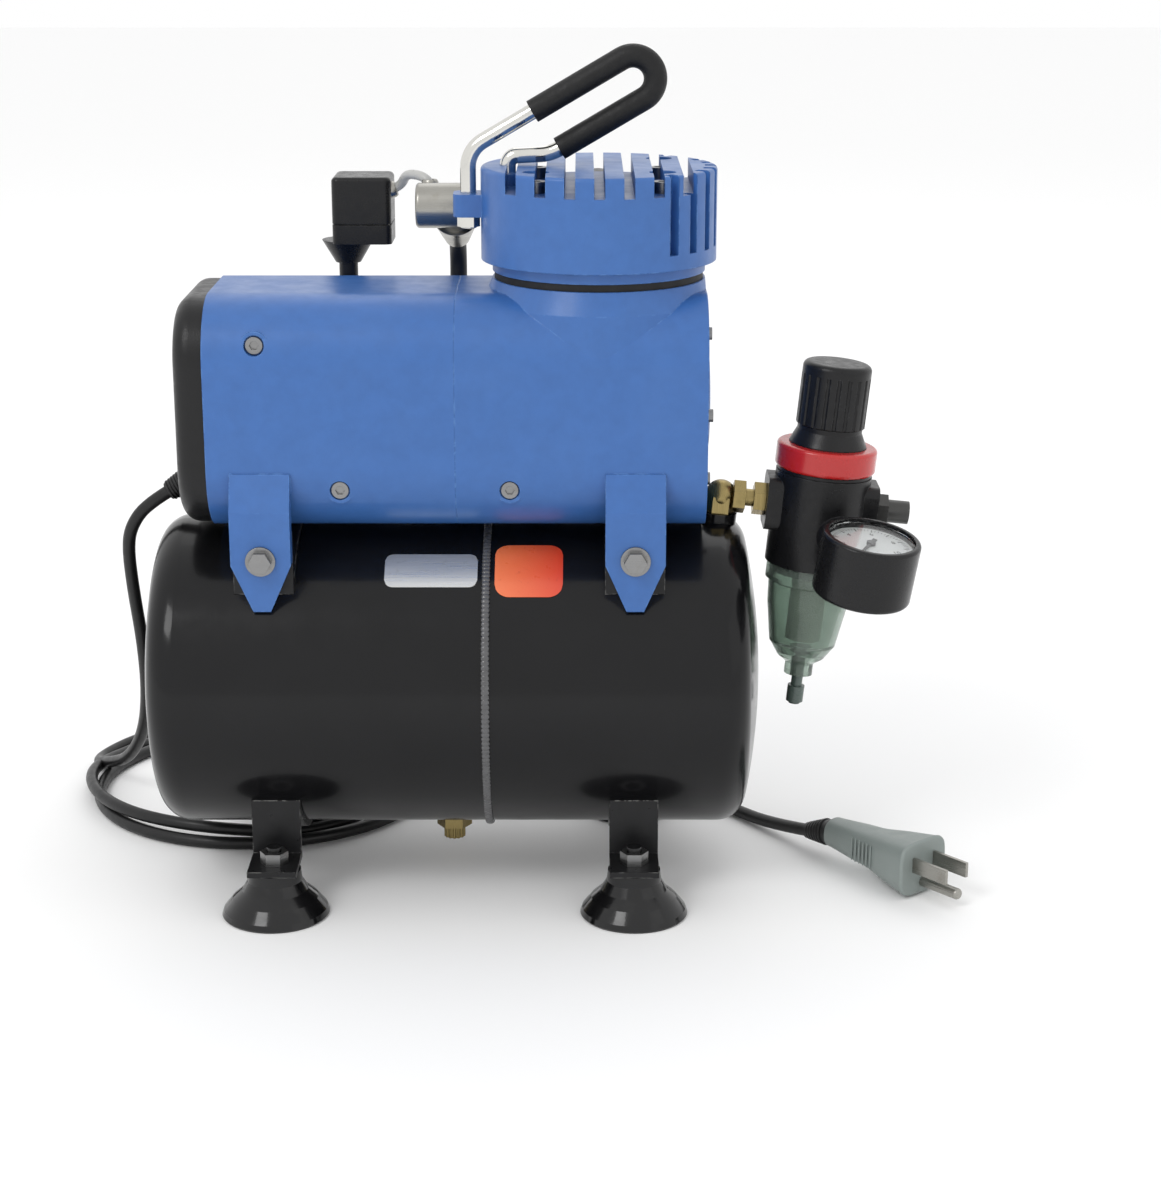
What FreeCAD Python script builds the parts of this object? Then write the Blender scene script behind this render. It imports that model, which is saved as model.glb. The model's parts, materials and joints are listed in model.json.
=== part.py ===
import FreeCAD, Part
import math
import os

# Oil-less airbrush compressor on a small air tank.
# Millimetres.  Origin: on the floor under the middle of the tank.
# +X runs along the tank to the regulator end, +Y to the back, +Z up.

os.makedirs("parts", exist_ok=True)
V = FreeCAD.Vector

# ---------------------------------------------------------------- driving sizes
TANK_LENGTH = 256.0
TANK_RADIUS = 65.0
TANK_WALL = 1.6
TANK_CROWN = 260.0
TANK_KNUCKLE = 12.0
GROUND_GAP = 22.0
WELD_X = 15.0
WELD_BEAD = 1.5

HOUSING_WIDTH = 94.0
HOUSING_HEIGHT = 94.0
HOUSING_CORNER = 26.0
HOUSING_GAP = 4.0
COVER_LEFT = -95.3
COVER_RIGHT = 3.5
CRANKCASE_RIGHT = 103.5
COVER_WALL = 2.5
CASE_WALL = 4.0
CAP_DEPTH = 12.3
CAP_INSET = 1.0

LUG_X = (-74.0, 75.0)
LUG_WIDTH = 24.0
LUG_THICKNESS = 6.5
LUG_RISE = 34.0
LUG_DROP = 29.0
LUG_SLOPE = 17.0
LUG_BOLT_DROP = 8.0
STRAP_THICKNESS = 2.5
SADDLE_WIDTH = 24.0

FOOT_X = (-72.0, 75.0)
FOOT_Y = 60.0
CRADLE_WIDTH = 20.0
LEG_Y = 50.0
CUP_RADIUS = 22.0
CUP_HEIGHT = 19.4

CYLINDER_X = 60.5
NECK_RADIUS = 43.0
NECK_RISE = 3.5
NECK_FLARE = 9.0
BORE_RADIUS = 20.0
SLEEVE_WALL = 3.0
GASKET_THICKNESS = 3.0
CRANK_THROW = 6.0
ROD_LENGTH = 42.0
HEAD_RADIUS = 47.5
HEAD_SKIRT = 25.0
FIN_HEIGHT = 8.0
FIN_PITCH = 11.55
FIN_SLOT = 4.2
FIN_SLOTS = 7

SHAFT_RADIUS = 6.0
BEARING_RADIUS = 14.0
BEARING_WIDTH = 8.0
ROTOR_RADIUS = 20.0
CORE_LEFT = -68.0
CORE_RIGHT = -24.0
CORE_SIZE = 76.0
FAN_RADIUS = 36.0

PORT_CLEARANCE = 8.0
SWITCH_X = -46.0
CHECK_X = 1.0
RELIEF_X = 35.0
DRAIN_X = -1.3
BUNG_RADIUS = 7.5
BUNG_BORE = 5.0
BUNG_RISE = 14.36

HANDLE_ROD = 3.2
HANDLE_GRIP = 4.7
HANDLE_GAP = 18.0
HANDLE_SLOPE = 30.2
HANDLE_REACH = 71.0

OUTLET_X = 111.5
OUTLET_RISE = 6.0
REGULATOR_LEAN = 5.7
REGULATOR_OFFSET = 25.0
REGULATOR_BODY = 20.0
BOWL_RADIUS = 18.0
KNOB_RADIUS = 14.2
RING_RADIUS = 20.8
GAUGE_RADIUS = 20.0
GAUGE_DEPTH = 26.0
GAUGE_TURN = 20.5
GAUGE_TIP = 8.0

CORD_RADIUS = 2.75
COIL_START = V(-100, 98, 0)
COIL_END = V(-92, 82, 0)
COIL_RADIUS_START = 80.0
COIL_RADIUS_END = 77.0
COIL_LAYERS = 2
PLUG_LENGTH = 52.0
PLUG_WIDTH = 28.0
BLADE_LENGTH = 18.0

# Clearances: a screwed or bolted fit, a turning fit, and a gap between bodies
SCREWED = 0.05
TURNING = 0.05
APART = 0.3
SEAT = 0.02

# ---------------------------------------------------------------- derived places
TANK_Z = GROUND_GAP + TANK_RADIUS
HOUSING_BOTTOM = TANK_Z + TANK_RADIUS + HOUSING_GAP
AXIS_Z = HOUSING_BOTTOM + HOUSING_HEIGHT / 2
HOUSING_TOP = HOUSING_BOTTOM + HOUSING_HEIGHT
HALF_WIDTH = HOUSING_WIDTH / 2
PORT_Y = HALF_WIDTH + PORT_CLEARANCE
OUTLET_Z = HOUSING_BOTTOM + OUTLET_RISE
CAP_LEFT = COVER_LEFT - CAP_DEPTH
DECK_Z = HOUSING_TOP + NECK_RISE
FLANGE_Z = DECK_Z + GASKET_THICKNESS
PIN_Z = AXIS_Z + CRANK_THROW + ROD_LENGTH
PIN_RADIUS = 4.0
EYE_RADIUS = 8.0
CROWN_THICKNESS = 4.0
EYE_ROOM = EYE_RADIUS + 2 * CRANK_THROW + 0.5
PISTON_TOP = PIN_Z + EYE_ROOM + CROWN_THICKNESS
BARREL_TOP = PISTON_TOP + 0.5
PLATE_THICKNESS = 3.0
REED_EDGE = 13.0
HEAD_BOTTOM = FLANGE_Z + 4.5
HEAD_DECK = HEAD_BOTTOM + HEAD_SKIRT + 4.0
HEAD_TOP = HEAD_DECK + FIN_HEIGHT
BUNG_TOP = TANK_Z + math.sqrt(TANK_RADIUS ** 2 - PORT_Y ** 2) + BUNG_RISE

# The motor windings, and where the smaller parts stand.
WINDING_INNER = 24.0
WINDING_OUTER = 34.0

# Straps, lugs and saddles.
EAR_OUTER = HALF_WIDTH - APART
EAR_INNER = EAR_OUTER - STRAP_THICKNESS
LUG_CENTRE_Z = HOUSING_BOTTOM - LUG_BOLT_DROP
LUG_OUTER = HALF_WIDTH + LUG_THICKNESS
BOLT_RADIUS = 2.5
BUSH_RADIUS = 5.0

# Feet and screws.
STUD_RADIUS = 3.0
NUT_HEIGHT = 5.0
SCREW_SHANK = 1.9
SCREW_HEAD = 3.4
HEAD_BOLT_CIRCLE = 35.0
COVER_BOLT_CIRCLE = 34.5
RECESS_DEPTH = 2.0
SIDE_SCREWS = ((-74.6, 30.0), (-42.4, -28.0), (25.0, -28.0))

# Valves on the tank.
RELIEF_STEM = 1.5
HOSE_RADIUS = 3.6
CHECK_TOP = BUNG_TOP + 24.0

# Motor.
FAN_LEFT = -94.3
SHAFT_LEFT = FAN_LEFT - 0.5
BRACKET_X = -84.0
FRONT_BEARING_X = 23.0
WEB_X = 50.0
ROD_WIDTH = 9.0
CRANK_PIN_LEFT = CYLINDER_X - ROD_WIDTH / 2 - 1.5
CRANK_PIN_RIGHT = CYLINDER_X + ROD_WIDTH / 2 + 1.5
CRANK_PIN = 5.5
BIG_END = 11.5

# Switch and cord entry in the end cap.
SWITCH_Y = 24.0
SWITCH_Z = AXIS_Z - 33.0
ROCKER_PIN_RADIUS = 0.8
ROCKER_PIN_GRIP = 0.6
ROCKER_TILT = 10.0
GLAND_Y = 8.0
GLAND_Z = AXIS_Z - 34.0
GLAND_TILT = 32.0
GLAND_HOLE = 5.0
GLAND_OUT = 14.0

# Crankcase cover and cylinder.
COVER_RECESS = 38.0
COVER_HOLE = 31.0
SLEEVE_OUTER = BORE_RADIUS + SLEEVE_WALL
SLEEVE_BOTTOM = PIN_Z - 15.0
PLATE_RADIUS = HEAD_RADIUS - 7.0

# Discharge elbow, intake filter and pressure switch.
ELBOW_X = -4.0
ELBOW_Y = 30.0
ELBOW_Z = HEAD_BOTTOM + 17.0
ELBOW_RADIUS = 9.3
NIPPLE_RADIUS = 5.0
NIPPLE_END = CYLINDER_X - math.sqrt(HEAD_RADIUS ** 2 - ELBOW_Y ** 2) + 3.6
DROP_ANGLE = 40.0
DROP_X = CHECK_X
FILTER_Y = 46.0
SWITCH_BOTTOM = HEAD_BOTTOM - 1.0
SWITCH_SIZE = (25.0, 26.0, 28.0)
SWITCH_SHIFT = 7.0

# Carrying handle.
HANDLE_START = V(8.0, 0, HEAD_BOTTOM + 43.0)
HANDLE_EAR_Z = HEAD_BOTTOM + 17.0
HANDLE_FOOT_X = 24.0
HANDLE_LOWER_LEG = 43.0
GRIP_START = 30.0

# Regulator, bowl, gauge and outlet.
REG_X = TANK_LENGTH / 2 + REGULATOR_OFFSET
REG_BODY_BOTTOM = OUTLET_Z - 25.0
REG_BODY_TOP = OUTLET_Z + 14.0
RING_BOTTOM = REG_BODY_TOP + 1.5
RING_TOP = RING_BOTTOM + 10.5
BONNET_TOP = RING_TOP + 8.0
KNOB_BOTTOM = BONNET_TOP + 0.3
KNOB_TOP = KNOB_BOTTOM + 26.0
BOWL_BOTTOM = OUTLET_Z - 66.0
DRAIN_TIP = OUTLET_Z - 87.5
SPINDLE = 3.0
PIPE_RADIUS = 3.6
BONNET_BORE = 12.0
NECK_OD = 14.0
GAUGE_STEM_FACE = REGULATOR_BODY + 3.0
GAUGE_CENTRE = REGULATOR_BODY + 27.0
GAUGE_MID_Z = OUTLET_Z - 9.0
OUTLET_THREAD = 4.8
GAUGE_THREAD = 4.6
BOWL_DRAIN = 2.4

# Mains cord and plug.
CORD_LIFT = 0.05
FLOOR_LINE = CORD_RADIUS + CORD_LIFT
COIL_HEIGHT = 2 * COIL_LAYERS * CORD_RADIUS + 1.0
COIL_BAND = 22.0
DROP_ROUTE = [(-128.8, 8.6, 155.8), (-135.7, 10.5, 147.3), (-139.1, 14, 137.1), (-139.4, 22.5, 115),
              (-138.4, 33, 88), (-139.7, 45, 60), (-145, 59, 36), (-155.5, 76, 18), (-167, 93, 9.6)]
TAIL_ROUTE = [(-38, 150, FLOOR_LINE), (-6, 139, FLOOR_LINE), (32, 119, FLOOR_LINE), (68, 99, FLOOR_LINE),
              (100, 76, FLOOR_LINE), (121, 52, FLOOR_LINE), (137.5, 30, 3.6)]
RELIEF_START = V(152.8, 9.5, 8.6)
PLUG_AXIS = V(0.653, -0.757, 0)
PLUG_HEIGHT = 12.6


# ---------------------------------------------------------------- shape helpers
def box(x0, x1, y0, y1, z0, z1):
    return Part.makeBox(x1 - x0, y1 - y0, z1 - z0, V(x0, y0, z0))


def rod(radius, start, end):
    run = end - start
    return Part.makeCylinder(radius, run.Length, start, run)


def tube(outer, inner, start, end):
    return rod(outer, start, end).cut(rod(inner, start, end))


def taper(first, last, start, end):
    run = end - start
    return Part.makeCone(first, last, run.Length, start, run)


def placed(shape, origin, direction):
    """Stand a shape made along +Z at an origin, along a direction."""
    shape = shape.copy()
    shape.Placement = FreeCAD.Placement(origin, FreeCAD.Rotation(V(0, 0, 1), direction))
    return shape


def hexagon(across, start, end):
    run = end - start
    corner = across / 2 / math.cos(math.radians(30))
    points = [V(corner * math.cos(math.radians(60 * k)), corner * math.sin(math.radians(60 * k)), 0)
              for k in range(7)]
    prism = Part.Face(Part.makePolygon(points)).extrude(V(0, 0, run.Length))
    return placed(prism, start, run)


def turned(profile, origin=V(0, 0, 0), direction=V(0, 0, 1)):
    """Turn a closed outline of (radius, height) points about its axis."""
    points = [V(r, 0, h) for r, h in profile]
    face = Part.Face(Part.makePolygon(points + points[:1]))
    return placed(face.revolve(V(0, 0, 0), V(0, 0, 1), 360), origin, direction)


def housing_bar(x0, x1, inset):
    """The housing's section along X, its sides and rounded long edges inset by a wall."""
    y, z = HALF_WIDTH - inset, HOUSING_HEIGHT / 2 - inset
    block = box(x0, x1, -y, y, AXIS_Z - z, AXIS_Z + z)
    long_edges = [e for e in block.Edges if abs(e.tangentAt(e.FirstParameter).x) > 0.9]
    return block.makeFillet(HOUSING_CORNER - inset, long_edges)


def joined(shapes):
    whole = shapes[0].fuse(shapes[1:])
    return whole.removeSplitter()


def save(name, *solids):
    shape = solids[0] if len(solids) == 1 else Part.makeCompound(list(solids))
    shape.exportStep("parts/" + name + ".step")
    print(name, "solids", len(shape.Solids), "valid", shape.isValid(), "volume", round(shape.Volume))


def motor_ring(outer, inner, x0, x1):
    return tube(outer, inner, V(x0, 0, AXIS_Z), V(x1, 0, AXIS_Z))


def on_cylinder(z, y=0):
    return V(CYLINDER_X, y, z)


# ---------------------------------------------------------------- air tank
def tank_form(inset):
    """The tank's turned form, inset from its outer surface."""
    radius = TANK_RADIUS - inset
    knuckle = TANK_KNUCKLE - inset
    crown = TANK_CROWN - inset
    apex = TANK_LENGTH / 2 - inset
    crown_x = apex - crown
    knuckle_r = radius - knuckle
    knuckle_x = crown_x + math.sqrt((crown - knuckle) ** 2 - knuckle_r ** 2)
    beta = math.atan2(knuckle_r, knuckle_x - crown_x)

    def on_knuckle(angle):
        return V(knuckle_x + knuckle * math.cos(angle), 0, knuckle_r + knuckle * math.sin(angle))

    def on_crown(angle):
        return V(crown_x + crown * math.cos(angle), 0, crown * math.sin(angle))

    top = V(knuckle_x, 0, radius)
    meet = on_crown(beta)
    end = V(apex, 0, 0)
    arcs = [Part.Arc(top, on_knuckle((math.pi / 2 + beta) / 2), meet).toShape(),
            Part.Arc(meet, on_crown(beta / 2), end).toShape()]
    start = V(0, 0, radius)
    half = Part.Face(Part.Wire([Part.LineSegment(V(0, 0, 0), start).toShape(),
                                Part.LineSegment(start, top).toShape()] + arcs
                               + [Part.LineSegment(end, V(0, 0, 0)).toShape()]))
    right = half.revolve(V(0, 0, 0), V(1, 0, 0), 360)
    left = right.mirror(V(0, 0, 0), V(1, 0, 0))
    whole = right.fuse(left).removeSplitter()
    whole.translate(V(0, 0, TANK_Z))
    return whole


TANK_OUTSIDE = tank_form(0)
TANK_INSIDE = tank_form(TANK_WALL)


def leaned(shape):
    """Lean what stands on the outlet port about that port."""
    shape = shape.copy()
    shape.rotate(V(OUTLET_X, 0, OUTLET_Z), V(0, 1, 0), REGULATOR_LEAN)
    return shape


def bung(x, y, top):
    return rod(BUNG_RADIUS, V(x, y, TANK_Z + 12), V(x, y, top))


def bung_bore(x, y, top):
    return rod(BUNG_BORE, V(x, y, TANK_Z), V(x, y, top + 1))


def outlet_post(radius, z0, z1):
    return leaned(rod(radius, V(OUTLET_X, 0, z0), V(OUTLET_X, 0, z1)))


def make_tank():
    wall = TANK_OUTSIDE.cut(TANK_INSIDE)
    reach = TANK_LENGTH
    left = wall.common(box(-reach, WELD_X, -reach, reach, 0, reach))
    right = wall.common(box(WELD_X, reach, -reach, reach, 0, reach))
    inner = TANK_RADIUS - TANK_WALL
    root = tube(inner + 0.3, inner - TANK_WALL, V(WELD_X - 6, 0, TANK_Z), V(WELD_X, 0, TANK_Z))
    lip = tube(inner - SCREWED, inner - TANK_WALL, V(WELD_X - 1, 0, TANK_Z), V(WELD_X + 8, 0, TANK_Z))
    bead = Part.makeTorus(TANK_RADIUS, WELD_BEAD, V(WELD_X, 0, TANK_Z), V(1, 0, 0))
    bead = bead.cut(rod(TANK_RADIUS - 0.5, V(WELD_X - 5, 0, TANK_Z), V(WELD_X + 5, 0, TANK_Z)))
    ports = [bung(SWITCH_X, PORT_Y, BUNG_TOP).cut(TANK_INSIDE),
             bung(CHECK_X, PORT_Y, BUNG_TOP).cut(TANK_INSIDE)]
    drain = rod(BUNG_RADIUS, V(DRAIN_X, 0, GROUND_GAP + 8), V(DRAIN_X, 0, GROUND_GAP - 2)).cut(TANK_INSIDE)
    left = joined([left, root, lip, bead, drain] + ports)
    for x in (SWITCH_X, CHECK_X):
        left = left.cut(bung_bore(x, PORT_Y, BUNG_TOP))
    left = left.cut(rod(BUNG_BORE, V(DRAIN_X, 0, GROUND_GAP - 5), V(DRAIN_X, 0, GROUND_GAP + 12)))
    outlet = outlet_post(BUNG_RADIUS, OUTLET_Z - 24, OUTLET_Z - 7).cut(TANK_INSIDE)
    right = joined([right, outlet, bung(RELIEF_X, PORT_Y, BUNG_TOP).cut(TANK_INSIDE)])
    right = right.cut(outlet_post(BUNG_BORE, OUTLET_Z - 30, OUTLET_Z))
    right = right.cut(bung_bore(RELIEF_X, PORT_Y, BUNG_TOP))
    right = right.cut(left)
    save("tank_shell_left", left)
    save("tank_shell_right", right)


def hugging(width, x, angle_half, upper):
    """A strap that follows the tank's surface, over or under it."""
    inner = TANK_RADIUS + SCREWED
    ring = tube(inner + STRAP_THICKNESS, inner, V(x - width / 2, 0, TANK_Z), V(x + width / 2, 0, TANK_Z))
    reach = angle_half
    z0, z1 = (TANK_Z, TANK_Z + 100) if upper else (TANK_Z - 100, TANK_Z)
    return ring.common(box(x - width, x + width, -reach, reach, z0, z1))


def make_saddles():
    saddles = []
    tank = rod(TANK_RADIUS + SCREWED, V(-150, 0, TANK_Z), V(150, 0, TANK_Z))
    ear_low = TANK_Z + math.sqrt(TANK_RADIUS ** 2 - EAR_OUTER ** 2) - 3
    for x in LUG_X:
        strap = hugging(SADDLE_WIDTH, x, EAR_OUTER, True)
        ears = []
        for side in (-1, 1):
            y0, y1 = sorted((side * EAR_OUTER, side * EAR_INNER))
            ear = box(x - SADDLE_WIDTH / 2, x + SADDLE_WIDTH / 2, y0, y1, ear_low, HOUSING_BOTTOM + 2)
            ears.append(ear.cut(tank))
        saddle = joined([strap] + ears)
        hole = rod(BOLT_RADIUS + SCREWED, V(x, -80, LUG_CENTRE_Z), V(x, 80, LUG_CENTRE_Z))
        saddles.append(saddle.cut(hole))
    save("motor_saddles", *saddles)


def make_cradles():
    cradles = []
    tab_z = CUP_HEIGHT + APART
    tank = rod(TANK_RADIUS + SCREWED, V(-150, 0, TANK_Z), V(150, 0, TANK_Z))
    leg_top = TANK_Z - math.sqrt(TANK_RADIUS ** 2 - LEG_Y ** 2) + 2
    for x in FOOT_X:
        x0, x1 = x - CRADLE_WIDTH / 2, x + CRADLE_WIDTH / 2
        pieces = [hugging(CRADLE_WIDTH, x, LEG_Y, False)]
        for side in (-1, 1):
            y0, y1 = sorted((side * LEG_Y, side * (LEG_Y - STRAP_THICKNESS)))
            pieces.append(box(x0, x1, y0, y1, tab_z, leg_top).cut(tank))
            y0, y1 = sorted((side * (FOOT_Y + 11), side * (LEG_Y - STRAP_THICKNESS)))
            pieces.append(box(x0, x1, y0, y1, tab_z, tab_z + STRAP_THICKNESS))
        cradle = joined(pieces)
        for side in (-1, 1):
            cradle = cradle.cut(rod(STUD_RADIUS + SCREWED, V(x, side * FOOT_Y, 0), V(x, side * FOOT_Y, 40)))
        cradles.append(cradle)
    save("foot_cradles", *cradles)


def make_feet():
    h = CUP_HEIGHT
    r = CUP_RADIUS
    top = CUP_HEIGHT + APART + STRAP_THICKNESS + NUT_HEIGHT + 2
    profile = [(r - 2.5, 0), (r - 0.6, 0), (r, 0.8), (r - 0.8, 3), (r - 4.5, 7.5), (r - 8.5, 11),
               (r - 10.8, 15), (r - 11.3, h), (STUD_RADIUS, h), (STUD_RADIUS, top), (0, top),
               (0, 7), (r - 11, 6.3), (r - 6, 3.6)]
    cups = []
    for x in FOOT_X:
        for y in (-FOOT_Y, FOOT_Y):
            cups.append(turned(profile, V(x, y, 0)))
    save("suction_feet", *cups)


def socket_screw(head_radius, head_height, shank_radius, length, head_point, inward):
    """A socket-head screw whose head's underside is at head_point."""
    inward = V(inward).normalize()
    head = rod(head_radius, head_point - inward * head_height, head_point)
    shank = rod(shank_radius, head_point, head_point + inward * length)
    socket = hexagon(head_radius * 0.95, head_point - inward * head_height,
                     head_point - inward * head_height * 0.35)
    return head.fuse(shank).cut(socket)


def housing_side(z):
    """Half width of the housing at a height above the motor axis."""
    flat = HOUSING_HEIGHT / 2 - HOUSING_CORNER
    if abs(z) <= flat:
        return HALF_WIDTH
    return HALF_WIDTH - HOUSING_CORNER + math.sqrt(HOUSING_CORNER ** 2 - (abs(z) - flat) ** 2)


def circle_points(count, radius, first):
    return [(radius * math.cos(math.radians(first + 360.0 / count * k)),
             radius * math.sin(math.radians(first + 360.0 / count * k))) for k in range(count)]


def make_fasteners():
    parts = []
    tab_top = CUP_HEIGHT + APART + STRAP_THICKNESS
    for x in FOOT_X:
        for y in (-FOOT_Y, FOOT_Y):
            nut = hexagon(10, V(x, y, tab_top), V(x, y, tab_top + NUT_HEIGHT))
            parts.append(nut.cut(rod(STUD_RADIUS + SCREWED, V(x, y, 0), V(x, y, 60))))
    for x in LUG_X:
        for side in (-1, 1):
            seat = V(x, side * LUG_OUTER, LUG_CENTRE_Z)
            inner = V(x, side * (EAR_INNER - 5.0), LUG_CENTRE_Z)
            washer = rod(6.0, seat, seat + V(0, side * 1.2, 0))
            head = hexagon(8, seat + V(0, side * 1.2, 0), seat + V(0, side * 4.6, 0))
            nut = hexagon(8, V(x, side * EAR_INNER, LUG_CENTRE_Z), V(x, side * (EAR_INNER - 4), LUG_CENTRE_Z))
            parts.append(joined([washer, head, rod(BOLT_RADIUS, seat, inner), nut]))
    for dx, dy in circle_points(4, HEAD_BOLT_CIRCLE, 45):
        seat = V(CYLINDER_X + dx, dy, HEAD_DECK)
        parts.append(socket_screw(4.0, 4.5, 2.4, HEAD_DECK - DECK_Z + 8, seat, V(0, 0, -1)))
    for dy, dz in circle_points(6, COVER_BOLT_CIRCLE, 0):
        seat = V(CRANKCASE_RIGHT, dy, AXIS_Z + dz)
        parts.append(socket_screw(2.6, 2.4, 1.4, 5.5, seat, V(-1, 0, 0)))
    for x, dz in SIDE_SCREWS:
        for side in (-1, 1):
            seat = V(x, side * (housing_side(dz) - RECESS_DEPTH - 0.2), AXIS_Z + dz)
            parts.append(socket_screw(SCREW_HEAD, 1.6, SCREW_SHANK, 4.5, seat, V(0, -side, 0)))
    save("steel_fasteners", *parts)


def make_bushes():
    bushes = []
    for x in LUG_X:
        for side in (-1, 1):
            bushes.append(tube(BUSH_RADIUS - SCREWED, BOLT_RADIUS + SCREWED,
                               V(x, side * HALF_WIDTH, LUG_CENTRE_Z), V(x, side * LUG_OUTER, LUG_CENTRE_Z)))
    save("mount_bushes", *bushes)


# ---------------------------------------------------------------- tank fittings
def make_drain_valve():
    bottom = GROUND_GAP - 2
    plug = rod(BUNG_BORE - SCREWED, V(DRAIN_X, 0, bottom), V(DRAIN_X, 0, bottom + 6))
    nut = hexagon(13, V(DRAIN_X, 0, bottom - 4.5), V(DRAIN_X, 0, bottom))
    bore = rod(2 + TURNING, V(DRAIN_X, 0, 0), V(DRAIN_X, 0, bottom + 10))
    save("drain_valve_body", plug.fuse(nut).cut(bore))
    knob_top = bottom - 4.5 - APART
    stem = rod(2.0, V(DRAIN_X, 0, knob_top), V(DRAIN_X, 0, bottom + 5))
    knob = rod(4.6, V(DRAIN_X, 0, knob_top - 5), V(DRAIN_X, 0, knob_top))
    grips = [rod(0.7, V(DRAIN_X + dx, dy, knob_top - 6), V(DRAIN_X + dx, dy, knob_top + 1))
             for dx, dy in circle_points(14, 4.8, 0)]
    save("drain_screw", knob.cut(Part.makeCompound(grips)).fuse(stem))


def make_safety_valve():
    at = lambda z: V(RELIEF_X, PORT_Y, z)
    base = BUNG_TOP
    body = joined([rod(BUNG_BORE - SCREWED, at(base - 11), at(base)), hexagon(13, at(base), at(base + 6)),
                   rod(5.4, at(base + 6), at(base + 18))])
    bore = rod(RELIEF_STEM + TURNING, at(base - 20), at(base + 30))
    save("safety_valve_body", body.cut(bore))
    collar = base + 18 + APART
    eye = collar + 5.5
    stem = rod(RELIEF_STEM, at(base - 6), at(eye))
    button = rod(3.2, at(collar), at(collar + 2))
    ball = Part.makeSphere(2.6, at(eye))
    hole = rod(1.15, at(eye) - V(5, 0, 0), at(eye) + V(5, 0, 0))
    ring = Part.makeTorus(7.0, 0.8, at(eye + 7.0), V(0, 1, 0))
    save("safety_valve_stem", joined([stem, button, ball]).cut(hole), ring)


def make_check_valve():
    at = lambda z: V(CHECK_X, PORT_Y, z)
    base = BUNG_TOP
    body = joined([rod(BUNG_BORE - SCREWED, at(base - 11), at(base)),
                   hexagon(15, at(base), at(CHECK_TOP - 5)),
                   rod(6.0, at(CHECK_TOP - 5), at(CHECK_TOP))])
    chamber = rod(4.6, at(base + 3), at(base + 15))
    passage = rod(2.0, at(base - 20), at(base + 30))
    socket = rod(HOSE_RADIUS + SCREWED, at(CHECK_TOP - 5), at(CHECK_TOP + 5))
    save("check_valve_body", body.cut(chamber).cut(passage).cut(socket))
    poppet = joined([rod(4.2, at(base + 11.5), at(base + 14.7)), rod(1.8, at(base + 7), at(base + 12))])
    save("check_valve_poppet", poppet)


def gland_axis():
    angle = math.radians(GLAND_TILT)
    return V(-math.cos(angle), 0, -math.sin(angle))


def gland_point(distance):
    return V(CAP_LEFT, GLAND_Y, GLAND_Z) + gland_axis() * distance


def make_end_cap():
    solid = housing_bar(CAP_LEFT, COVER_LEFT, CAP_INSET)
    rim = [e for e in solid.Edges if abs(e.CenterOfMass.x - CAP_LEFT) < 0.01]
    solid = solid.makeFillet(7.0, rim)
    hollow = housing_bar(CAP_LEFT + COVER_WALL, COVER_LEFT + 1, CAP_INSET + COVER_WALL)
    hollow = hollow.makeFillet(4.0, [e for e in hollow.Edges
                                     if abs(e.CenterOfMass.x - CAP_LEFT - COVER_WALL) < 0.01])
    spigot = housing_bar(COVER_LEFT - 1, COVER_LEFT + 3, COVER_WALL + SCREWED)
    opening = housing_bar(COVER_LEFT - 2, COVER_LEFT + 4, 2 * COVER_WALL + SCREWED)
    cap = solid.cut(hollow).fuse(spigot.cut(opening))
    cap = cap.cut(opening)
    for k in range(7):
        z = AXIS_Z - 12 + 7.5 * k
        half = 30 - 1.2 * abs(k - 2) ** 1.5
        cap = cap.cut(box(CAP_LEFT - 1, CAP_LEFT + 4, -half, half, z - 1.7, z + 1.7))
    cap = cap.cut(box(CAP_LEFT - 1, COVER_LEFT, SWITCH_Y - 6.5, SWITCH_Y + 6.5, SWITCH_Z - 5, SWITCH_Z + 5))
    cap = cap.cut(rod(GLAND_HOLE + SCREWED, gland_point(12), gland_point(-16)))
    save("end_cap", cap)


def make_power_switch():
    y0, y1 = SWITCH_Y - 6.5 + SCREWED, SWITCH_Y + 6.5 - SCREWED
    z0, z1 = SWITCH_Z - 5 + SCREWED, SWITCH_Z + 5 - SCREWED
    body = box(CAP_LEFT, COVER_LEFT - 0.5, y0, y1, z0, z1)
    flange = box(CAP_LEFT - 1.4, CAP_LEFT, y0 - 1.6, y1 + 1.6, z0 - 1.6, z1 + 1.6)
    pocket = box(CAP_LEFT - 5, CAP_LEFT + 4.8, y0 + 1, y1 - 1, z0 + 1, z1 - 1)
    pivot = V(CAP_LEFT + 0.6, SWITCH_Y, SWITCH_Z)
    reach = (z1 - z0) / 2 - 1 + ROCKER_PIN_GRIP
    hole = rod(ROCKER_PIN_RADIUS + TURNING, pivot + V(0, 0, -reach - 0.1), pivot + V(0, 0, reach + 0.1))
    save("rocker_frame", body.fuse(flange).removeSplitter().cut(pocket).cut(hole))
    half = (y1 - y0) / 2 - 1 - APART
    outline = [V(0, half * 0.93, 0), V(-2.6, half * 0.93, 0), V(-1.2, 0, 0), V(-2.6, -half * 0.93, 0),
               V(0, -half * 0.93, 0), V(2.4, -1.5, 0), V(2.4, 1.5, 0)]
    points = [pivot + p for p in outline]
    face = Part.Face(Part.makePolygon(points + points[:1]))
    depth = (z1 - z0) / 2 - 1 - APART
    face.translate(V(0, 0, -depth))
    button = face.extrude(V(0, 0, 2 * depth))
    button.rotate(pivot, V(0, 0, 1), -ROCKER_TILT)
    button = button.fuse(rod(ROCKER_PIN_RADIUS, pivot + V(0, 0, -reach), pivot + V(0, 0, reach)))
    save("rocker_button", button)


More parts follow.
